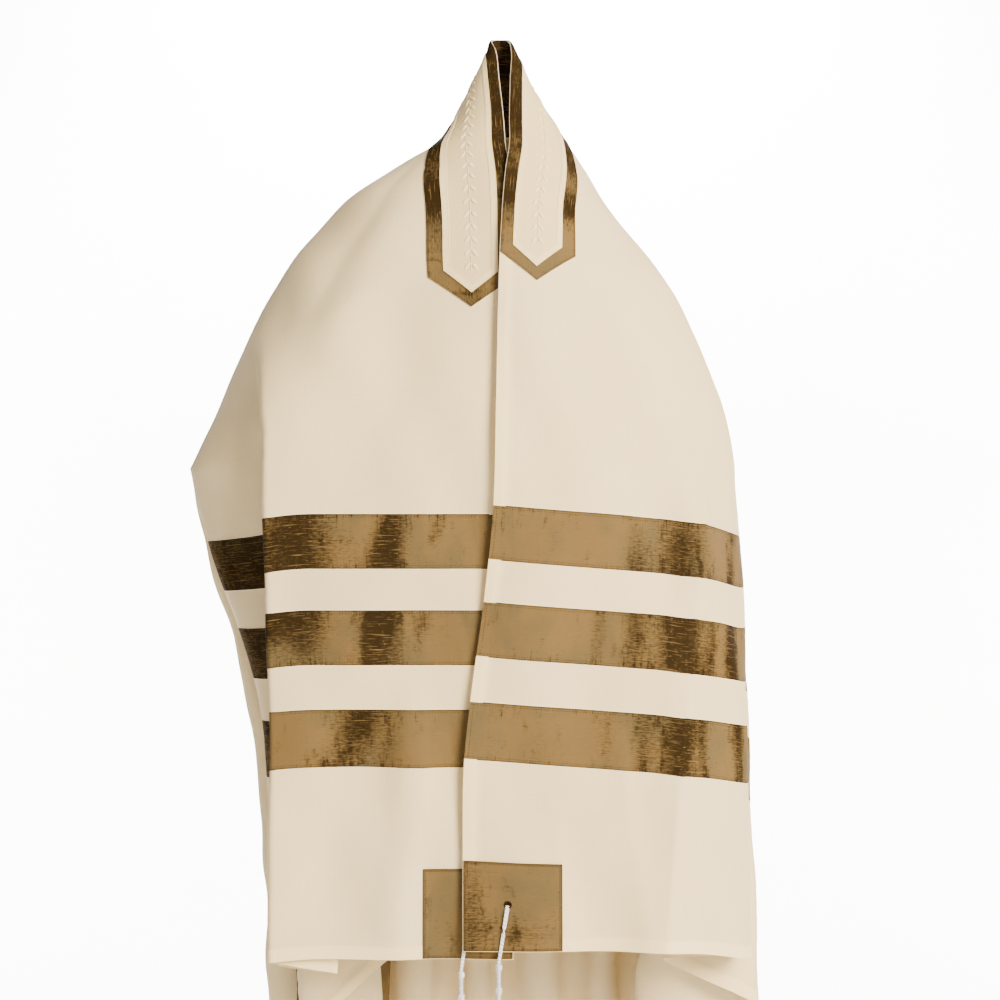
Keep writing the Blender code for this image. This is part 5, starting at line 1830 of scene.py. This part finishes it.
@dataclass
class Collar:
    """The silk band at the neck, with its cream inlay, ribbon border and embroidery."""

    shift: float = -0.0095
    band: Strip = Strip(0.302, 0.030, 0.0006, 0.0900)
    inlay: Strip = Strip(0.294, 0.022, 0.0160, 0.0730)
    # The facing reaches further down the cloth than the band, so that its darkened silk fills the hollow
    # inside the neck: partly the real lining, partly painted shadow.
    facing: Strip = Strip(0.118, 0.000, 0.0006, 0.1160)
    ribbon_width: float = 0.0068
    ribbon_counts: tuple[int, ...] = (150, 10, 10, 150, 10, 10)
    ribbon_shares: tuple[float, ...] = (0.0, 0.12, 0.37, 0.63, 0.88, 1.0)
    ribbon_wall: float = 0.0005
    neck_half: float = 0.060
    neck_step: float = 0.0034
    side_step: float = 0.0046
    tip_step: float = 0.0030
    tip_share: float = 0.985
    seam_width: float = 0.0012
    pucker_reach: float = 0.006
    band_lift: float = 0.00120
    inlay_lift: float = 0.00185
    ribbon_lift: float = 0.00240
    facing_lift: float = -0.00075
    wall: float = 0.0006
    leaf_length: float = 0.0105
    leaf_width: float = 0.0038
    leaf_height: float = 0.0011
    leaf_spacing: float = 0.0145
    leaf_angle: float = math.radians(38.0)
    leaf_rows: int = 19
    leaf_columns: int = 7
    leaf_threads: float = 18.0
    leaf_base: float = -0.0002

    def outline(self, strip: Strip) -> Outline:
        """A strip's outline, anticlockwise where s runs right and q up."""
        left, right = self.shift - strip.half_length, self.shift + strip.half_length
        return [(left, strip.start), (right, strip.start), (right + strip.tip, strip.middle),
                (right, strip.end), (left, strip.end), (left - strip.tip, strip.middle)]

    def cut(self, shop: Workshop, name: str, strip: Strip, lift: float, columns: int) -> Thing:
        """Cut a strip of cloth, with its pointed ends if it has any.

        Args:
            shop: What it is made with.
            name: Its name.
            strip: Its size and place.
            lift: How far out from the cloth it lies.
            columns: How many columns its grid has.

        Returns:
            The piece.
        """
        left, right = self.shift - strip.half_length, self.shift + strip.half_length
        marks = [left, -self.neck_half, self.neck_half, right]
        sizes = [self.side_step, self.neck_step, self.side_step]
        if strip.tip > 0.0:
            marks = [left - self.tip_share * strip.tip, *marks, right + self.tip_share * strip.tip]
            sizes = [self.tip_step, *sizes, self.tip_step]
        lines = through(marks, sizes)
        past = np.maximum(np.abs(lines - self.shift) - strip.half_length, 0.0)
        share = past / strip.tip if strip.tip > 0.0 else np.zeros_like(past)
        low = strip.start + (strip.middle - strip.start) * share
        high = strip.end + (strip.middle - strip.end) * share
        part = np.linspace(0.0, 1.0, columns)
        part = 0.5 + 0.5 * np.sign(part - 0.5) * np.abs(2.0 * part - 1.0) ** 0.8
        q = low[:, None] + (high - low)[:, None] * part
        s = np.broadcast_to(lines[:, None], q.shape)
        from_edge = np.minimum(q - low[:, None], high[:, None] - q)
        return shop.mesher.cloth(name, s, q, lift, self.wall, flat=np.stack((s, q), axis=-1),
                                 shade=painted_silk_shade(s, q), seam=painted_edge_shade(from_edge, self.seam_width),
                                 pucker=np.exp(-from_edge / self.pucker_reach))

    def build(self, shop: Workshop) -> None:
        """Make the neck's pieces, from the cloth outwards.

        Args:
            shop: What they are made with.
        """
        finishes = shop.finishes
        for name, strip, lift, columns, slot, looks, node in (
                ("neck_band", self.band, self.band_lift, 34, Slot.SILK, finishes.collar_silk, "collar_band"),
                ("neck_lining", self.facing, self.facing_lift, 28, Slot.DARK_SILK, finishes.facing_silk,
                 "neck_facing"),
                ("neck_inlay", self.inlay, self.inlay_lift, 26, Slot.WOOL, finishes.inlay, "collar_inlay")):
            shop.keep(self.cut(shop, name, strip, lift, columns), slot, looks, [node])
        outline = self.outline(self.inlay)
        self.ribbon(shop, inset(outline, -0.0006))
        self.edge_work(shop, outline)
        self.embroidery(shop)

    def ribbon(self, shop: Workshop, outline: Outline) -> None:
        """Make the ribbon that borders the inlay.

        Args:
            shop: What it is made with.
            outline: Its outer edge's corners.
        """
        rings = [inset(outline, self.ribbon_width * share) for share in self.ribbon_shares]
        columns = []
        for ring in rings:
            path = [np.array(ring[0])[None, :]]
            for start, end, count in zip(ring, ring[1:] + ring[:1], self.ribbon_counts):
                share = (np.arange(1, count + 1) / count)[:, None]
                path.append(np.array(start) * (1.0 - share) + np.array(end) * share)
            columns.append(np.concatenate(path)[:-1])
        grid = np.stack(columns, axis=1)
        ribbon = shop.mesher.cloth("neck_ribbon", grid[..., 0], grid[..., 1], self.ribbon_lift,
                                   self.ribbon_wall, loop=True)
        shop.keep(ribbon, Slot.WOOL, shop.finishes.ribbon)

    def edge_work(self, shop: Workshop, inlay: Outline) -> None:
        """Sew the ribbon and the band down, and roll the front edge of the neck.

        Args:
            shop: What it is made with.
            inlay: The inlay's outline.
        """
        def closed(corners: Outline, width: float) -> Array:
            """An inset of a closed outline, as a path that comes back to its start."""
            moved = inset(corners, width)
            return drawn(moved + moved[:1])

        sewing, finishes = shop.sewing, shop.finishes
        paths = [closed(inlay, 0.0004), closed(inlay, self.ribbon_width - 0.0014)]
        shop.keep(sewing.stitches("ribbon_stitches", paths, self.ribbon_lift + 0.00028, finishes.cream_thread,
                                  RIBBON_STITCH), Slot.WOOL)
        band = self.outline(self.band)
        shop.keep(sewing.stitches("neck_band_stitches", [closed(band, 0.0022)], self.band_lift + 0.0003,
                                  finishes.brown_thread), Slot.DARK_SILK)
        roll = drawn([(-0.40, 0.0002), (0.40, 0.0002)])
        shop.keep(sewing.piping("neck_edge_roll", [roll], 0.0005, 0.00052, finishes.edge_thread), Slot.WOOL)
        rim = closed(band, -0.0004)
        shop.keep(sewing.piping("neck_band_roll", [rim], 0.00075, 0.00035, finishes.piping), Slot.WOOL)

    def leaf(self) -> Thing:
        """One satin-stitched leaf, lying along X with its top along Z."""
        along = np.linspace(0.0, 1.0, self.leaf_rows)[:, None]
        across = np.linspace(-1.0, 1.0, self.leaf_columns)[None, :]
        half = 0.5 * self.leaf_width * np.sin(math.pi * np.clip(along, 0.02, 0.98)) ** 0.75
        x = (along - 0.5) * self.leaf_length + 0.0 * across
        y = half * across
        thread = 1.0 + 0.16 * np.cos(math.pi * self.leaf_threads * along + 2.2 * np.abs(across))
        dome = np.sqrt(np.maximum(1.0 - 0.94 * across ** 2, 0.0)) * np.sin(math.pi * along) ** 0.4
        groove = 1.0 - 0.30 * np.exp(-(across / 0.16) ** 2)
        top = np.stack(np.broadcast_arrays(x, y, self.leaf_height * dome * thread * groove), axis=-1)
        low = np.stack(np.broadcast_arrays(x, y, self.leaf_base), axis=-1)
        rows, columns = top.shape[:2]
        index = np.arange(rows * columns).reshape(rows, columns)
        corners = cells(index).reshape(-1, 4)
        rim = np.concatenate((index[:, 0], index[-1, 1:], index[-2::-1, -1], index[0, -2:0:-1]))
        after = np.roll(rim, -1)
        sides = np.stack((after, rim, rim + rows * columns, after + rows * columns), axis=-1)
        points = np.concatenate((top.reshape(-1, 3), low.reshape(-1, 3)))
        return Mesher.made("leaf", points, [corners, corners[:, ::-1] + rows * columns, sides])

    def embroidery(self, shop: Workshop) -> None:
        """Embroider a plain running border of leaf pairs down the middle of the inlay.

        Args:
            shop: What it is made with.
        """
        middle = self.inlay.middle
        reach = self.inlay.half_length - 0.006
        spots = np.arange(0.0080, reach, self.leaf_spacing)
        flat, ways, stems = [], [], []
        for side in Side:
            for spot in spots:
                for hand in (-1, 1):
                    way = np.array((side.value * math.cos(self.leaf_angle), hand * math.sin(self.leaf_angle)))
                    root = np.array((self.shift + side.value * spot, middle))
                    flat.append(root + way * (0.5 * self.leaf_length + 0.0011))
                    ways.append(way)
            stems.append(drawn([(self.shift, middle), (self.shift + side.value * (reach + 0.003), middle)]))
        leaf = self.leaf()
        guide = shop.sewing.guide([np.array(flat)], self.inlay_lift + 0.5 * self.wall, np.array(ways))
        leaves = Sewing.baked("leaf_embroidery", guide, shop.sewing.motif_tree, Motif=leaf, Unevenness=0.08,
                              Seed=11, Material=shop.finishes.satin_thread)
        bpy.data.objects.remove(leaf, do_unlink=True)
        shop.keep(leaves, Slot.WOOL)
        stem = shop.sewing.stitches("stem_embroidery", stems, self.inlay_lift + 0.5 * self.wall + 0.0002,
                                    shop.finishes.satin_thread, STEM_STITCH)
        shop.keep(stem, Slot.WOOL)


class Corner(NamedTuple):
    """A corner's name and side, its eyelet's flat place and where its cords pass the edge."""

    name: str
    side: Side
    eyelet_s: float
    eyelet_q: float
    exit_s: float
    exit_q: float


CORNERS = (
    Corner("front_left", Side.LEFT, 0.975, 0.046, 1.0250, 0.053),
    Corner("front_right", Side.RIGHT, 0.975, 0.046, 1.0250, 0.039),
    Corner("back_left", Side.LEFT, 0.975, 1.104, 1.0077, 1.150),
    Corner("back_right", Side.RIGHT, 0.975, 1.104, 1.0028, 1.150),
)


@dataclass
class CornerPatch:
    """One silk patch with its worked eyelet."""

    corner: Corner
    size: float = 0.095
    inset: float = 0.0008
    wall: float = 0.0006
    lift: float = 0.00122
    stitch_inset: float = 0.0026
    eyelet_radius: float = 0.0034
    sizes: tuple[float, ...] = (0.0030, 1.0, 0.0030)
    seam_width: float = 0.0012
    pucker_reach: float = 0.008

    def build(self, shop: Workshop) -> None:
        """Make the patch, its stitches and its eyelet.

        Args:
            shop: What they are made with.
        """
        corner, half = self.corner, shop.grid.eyelet_half
        end = CLOTH_HALF_LENGTH
        at_front = corner.eyelet_q < 0.5 * CLOTH_WIDTH
        marks = [end - self.size, corner.eyelet_s - half, corner.eyelet_s + half, end - self.inset]
        lines = np.sort(corner.side.value * through(marks, self.sizes))
        eyelet = shop.grid.eyelet_from_edge
        columns = through([self.inset, eyelet - half, eyelet + half, self.size], self.sizes)
        if not at_front:
            columns = np.sort(CLOTH_WIDTH - columns)
        s, q = np.meshgrid(lines, columns, indexing="ij")
        middle_s, middle_q = np.abs(middles(s)), middles(q)
        keep = (np.abs(middle_s - corner.eyelet_s) > half) | (np.abs(middle_q - corner.eyelet_q) > half)
        from_side = np.minimum(np.abs(s) - marks[0], marks[-1] - np.abs(s))
        from_edge = np.minimum(from_side, np.minimum(q - columns[0], columns[-1] - q))
        patch = shop.mesher.cloth("corner_patch_" + corner.name, s, q, self.lift, self.wall, keep=keep,
                                  shade=painted_silk_shade(s, q), seam=painted_edge_shade(from_edge, self.seam_width),
                                  pucker=np.exp(-from_edge / self.pucker_reach))
        shop.keep(patch, Slot.SILK, shop.finishes.patch_silk, ["patch_" + corner.name])
        left, right = lines[0] + self.stitch_inset, lines[-1] - self.stitch_inset
        low, high = columns[0] + self.stitch_inset, columns[-1] - self.stitch_inset
        seam = drawn([(left, low), (right, low), (right, high), (left, high), (left, low)])
        top = self.lift + 0.5 * self.wall
        shop.keep(shop.sewing.stitches("patch_stitches_" + corner.name, [seam], top,
                                       shop.finishes.brown_thread), Slot.DARK_SILK)
        turn = np.linspace(0.0, 2.0 * math.pi, 49)
        ring = np.column_stack((corner.side.value * corner.eyelet_s + self.eyelet_radius * np.cos(turn),
                                corner.eyelet_q + self.eyelet_radius * np.sin(turn)))
        worked = shop.sewing.stitches("eyelet_" + corner.name, [ring], top, shop.finishes.brown_thread,
                                      EYELET_STITCH)
        shop.keep(worked, Slot.DARK_SILK)


@dataclass
class Fringe:
    """One corner's knotted fringe: strands through the eyelet, a wound and knotted stem and loose ends."""

    corner: Corner
    cord_radius: float = 0.00075
    stands_off: float = 0.0030
    loop_places: tuple[float, ...] = (-1.15, -0.40, 0.40, 1.15)
    loop_spacing: float = 0.0013
    crossing_rise: float = 0.0008
    eyelet_gap: float = 0.0016
    knot_drop: float = 0.012
    knot_spacing: float = 0.024
    knot_height: float = 0.0070
    knot_radius: float = 0.00085
    windings: tuple[int, ...] = (7, 8, 11, 13)
    winding_ring: float = 0.0019
    winding_radius: float = 0.00062
    core_ring: float = 0.0008
    core_radius: float = 0.0007
    core_twist: float = 150.0
    strand_count: int = 8
    strand_length: float = 0.230
    strand_spread: float = 0.010
    strand_ring: float = 0.0018
    strand_sway: float = 0.0020
    strand_points: int = 64

    def build(self, shop: Workshop) -> None:
        """Make the fringe.

        Args:
            shop: What it is made with.
        """
        corner = self.corner
        side = corner.side.value
        at = np.array((side * corner.eyelet_s, side * corner.exit_s))
        middle, ways = shop.drape.lifted(at, np.array((corner.eyelet_q, corner.exit_q)), 0.0006)
        down = (middle[1] - middle[0]) / np.linalg.norm(middle[1] - middle[0])
        out = ways[0] - down * float(ways[0] @ down)
        out = out / np.linalg.norm(out)
        top = middle[1] + down * self.knot_drop
        lines = [self.loop_line(middle[0], middle[1], top, down, out, number) for number in range(4)]
        radii = [np.full(len(line), self.cord_radius) for line in lines]
        for line, radius in self.stem(top):
            lines.append(line)
            radii.append(np.full(len(line), radius))
        for line in self.strands(top):
            share = np.linspace(0.0, 1.0, len(line))
            lines.append(line)
            radii.append(self.cord_radius * (1.0 - 0.55 * ease((share - 0.965) / 0.035)))
        fringe = shop.mesher.tubes("knotted_fringe_" + corner.name, lines, radii, 7)
        shop.keep(fringe, Slot.CORD, shop.finishes.cord, ["fringe_" + corner.name])

    def loop_line(self, eyelet: Array, edge: Array, top: Array, down: Array, out: Array, number: int
                  ) -> Array:
        """One strand from the knot, up over the patch, through the eyelet and back down inside.

        Args:
            eyelet: The eyelet's middle.
            edge: Where the strands pass the edge.
            top: The stem's top.
            down: The way down the cloth.
            out: The way out of it.
            number: Which strand it is.

        Returns:
            Its points.
        """
        aside = np.cross(out, down)
        offset = self.loop_places[number] * self.loop_spacing
        pair = 1.0 if number < 2 else -1.0
        length = float(np.linalg.norm(edge - eyelet))
        points = []
        for share in np.linspace(0.0, 1.0, 22):
            crossing = float(ease((share - 0.42) / 0.22))
            over = math.exp(-((share - 0.53) / 0.13) ** 2) * self.crossing_rise * pair
            lift = self.stands_off * float(ease(share / 0.10)) * (1.0 - 0.35 * share) + over
            place = eyelet + down * (self.eyelet_gap + (length - self.eyelet_gap) * share) + out * lift
            points.append(place + aside * offset * (1.0 - 2.0 * crossing) * (1.0 - 0.35 * share))
        points.append(top + down * 0.002 + aside * offset * -0.5 + out * 0.0006)
        back = []
        for share in np.linspace(0.0, 1.0, 12):
            place = eyelet + down * (self.eyelet_gap + (length - self.eyelet_gap) * share)
            back.append(place - out * self.stands_off * float(ease(share / 0.12)) + aside * offset * 0.8)
        back.append(top + down * 0.002 + aside * offset * 0.5 - out * 0.0006)
        return np.array(points[::-1] + back[1:])

    def stem(self, top: Array) -> list[tuple[Array, float]]:
        """The stem's core, its windings and its double knots, as lines with their radii."""
        lines = []
        foot = 0.001 + self.knot_height + self.knot_spacing * len(self.windings)
        for number in range(4):
            angle = 0.5 * math.pi * number
            depth = np.linspace(-0.001, foot, 40)
            lines.append((ring_line(top, self.core_ring, angle + depth * self.core_twist, top[2] - depth),
                          self.core_radius))
        for gap, count in enumerate(self.windings):
            start = 0.001 + self.knot_height + self.knot_spacing * gap
            share = np.linspace(0.0, 1.0, count * 12 + 1)
            turn = 2.0 * math.pi * count * share
            depth = start - 0.001 + (self.knot_spacing - self.knot_height + 0.002) * share
            lines.append((ring_line(top, self.winding_ring, turn, top[2] - depth), self.winding_radius))
        for knot in range(len(self.windings) + 1):
            centre = top[2] - 0.001 - 0.5 * self.knot_height - self.knot_spacing * knot
            turn = np.linspace(0.0, 2.0 * math.pi, 73)
            for half, lean in ((-1.0, 0.0), (1.0, 2.1)):
                radius = 0.0023 + 0.0006 * np.cos(3.0 * turn + lean)
                height = centre + half * 0.0013 + 0.0011 * np.sin(3.0 * turn + lean)
                angle = 2.0 * turn + 0.8 * knot + lean
                lines.append((ring_line(top, radius, angle, height), self.knot_radius))
        return lines

    def strands(self, top: Array) -> list[Array]:
        """The loose ends, which hang in slight waves."""
        foot = top[2] - 0.001 - self.knot_height - self.knot_spacing * len(self.windings)
        lines = []
        for strand in range(self.strand_count):
            angle = 2.0 * math.pi * (strand + 0.5) / self.strand_count
            reach = self.strand_length * (0.94 + 0.06 * math.cos(3.0 * angle + self.corner.side.value))
            share = np.linspace(0.0, 1.0, self.strand_points)
            apart = self.strand_ring + (self.strand_spread - self.strand_ring) * share ** 1.2
            sway = self.strand_sway * ease(share / 0.2)
            x = apart * math.cos(angle) + sway * np.sin(share * 17.0 + 1.9 * strand)
            y = apart * math.sin(angle) + sway * np.cos(share * 14.0 + 2.7 * strand)
            lines.append(np.column_stack((top[0] + x, top[1] + y, foot + 0.003 - (reach + 0.003) * share)))
        return lines


class Lamp(NamedTuple):
    """A soft square lamp: its name and place, what it faces, its side in metres, its watts and colour."""

    name: str
    place: Triple
    aim: Triple
    size: float
    power: float
    colour: Triple


WARM = (1.0, 0.885, 0.71)
WHITE = (1.0, 1.0, 1.0)
LAMPS = (
    Lamp("key_lamp", (2.1, -2.7, 0.8), (0.0, 0.0, -0.6), 1.7, 530.0, WARM),
    Lamp("fill_lamp", (-0.3, -3.2, -0.4), (0.0, 0.0, -0.8), 1.6, 44.0, WARM),
    Lamp("low_lamp", (0.9, -2.2, -1.6), (0.0, 0.0, -1.1), 1.2, 16.0, WARM),
    Lamp("wall_lamp", (0.0, 2.5, 1.9), (0.0, 4.2, -0.5), 1.8, 950.0, WHITE),
    Lamp("left_wall_lamp", (-2.6, 2.5, -0.2), (-0.2, 4.2, -0.7), 1.2, 420.0, WHITE),
    Lamp("right_wall_lamp", (2.6, 2.5, -0.2), (0.2, 4.2, -0.7), 1.2, 420.0, WHITE),
)


@dataclass
class Studio:
    """The pale floor and wall, the lamps and the camera."""

    floor: float = -1.80
    wall: float = 4.2
    bend: float = 1.4
    half_width: float = 2.3
    front: float = -1.0
    top: float = 1.7
    lens: float = 78.3
    sensor: float = 36.0
    camera_place: Triple = (0.0, -2.4, -0.5096)
    sky: float = 0.30
    sky_colour: tuple[float, ...] = (1.0, 0.93, 0.82, 1.0)

    def build(self, shop: Workshop) -> None:
        """Set up the studio.

        Args:
            shop: Not used; the paper's finish is made here.
        """
        turn = np.linspace(0.0, 0.5 * math.pi, 17)
        bend_y = self.wall - self.bend + self.bend * np.sin(turn)
        bend_z = self.floor + self.bend * (1.0 - np.cos(turn))
        y = np.concatenate(((self.front, 0.0), bend_y, (self.wall,)))
        z = np.concatenate(((self.floor, self.floor), bend_z, (self.top,)))
        x = np.linspace(-self.half_width, self.half_width, 9)
        points = np.stack([np.column_stack((np.full_like(y, place), y, z)) for place in x])
        rows, columns = points.shape[:2]
        faces = cells(np.arange(rows * columns).reshape(rows, columns))
        paper = Mesher.made("studio_floor", points.reshape(-1, 3), [faces.reshape(-1, 4)])
        paper.data.materials.append(PaperFinish().make())
        for lamp in LAMPS:
            self.light(lamp)
        world = bpy.data.worlds.new("studio_air")
        world.use_nodes = True
        air = world.node_tree.nodes["Background"].inputs
        air["Color"].default_value = self.sky_colour
        air["Strength"].default_value = self.sky
        bpy.context.scene.world = world
        camera = bpy.data.cameras.new("camera")
        camera.lens = self.lens
        camera.sensor_width = self.sensor
        viewer = added("camera", camera)
        viewer.location = self.camera_place
        viewer.rotation_euler = (math.radians(90.0), 0.0, 0.0)
        bpy.context.scene.camera = viewer
        LOG.info("studio: floor, lamps and camera")

    @staticmethod
    def light(lamp: Lamp) -> None:
        """Add a soft square lamp."""
        light = bpy.data.lights.new(lamp.name, "AREA")
        light.shape = "SQUARE"
        light.size = lamp.size
        light.energy = lamp.power
        light.color = lamp.colour
        thing = added(lamp.name, light)
        thing.location = lamp.place
        thing.rotation_euler = (Vector(lamp.aim) - Vector(lamp.place)).to_track_quat("-Z", "Y").to_euler()


def main() -> None:
    """Dress the shawl and set up the studio."""
    logging.basicConfig(level=logging.INFO, format="%(name)s: %(message)s")
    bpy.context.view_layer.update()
    drape = Drape()
    shop = Workshop(drape, Mesher(drape), Sewing(drape), Finishes(), ClothGrid())
    sheet = WoolSheet().build(shop)
    SilkBands().build(shop)
    Collar().build(shop)
    for corner in CORNERS:
        CornerPatch(corner).build(shop)
        Fringe(corner).build(shop)
    Studio().build(shop)
    LOG.info("%d pieces in all", len(shop.pieces))


if __name__ == "__main__":
    main()
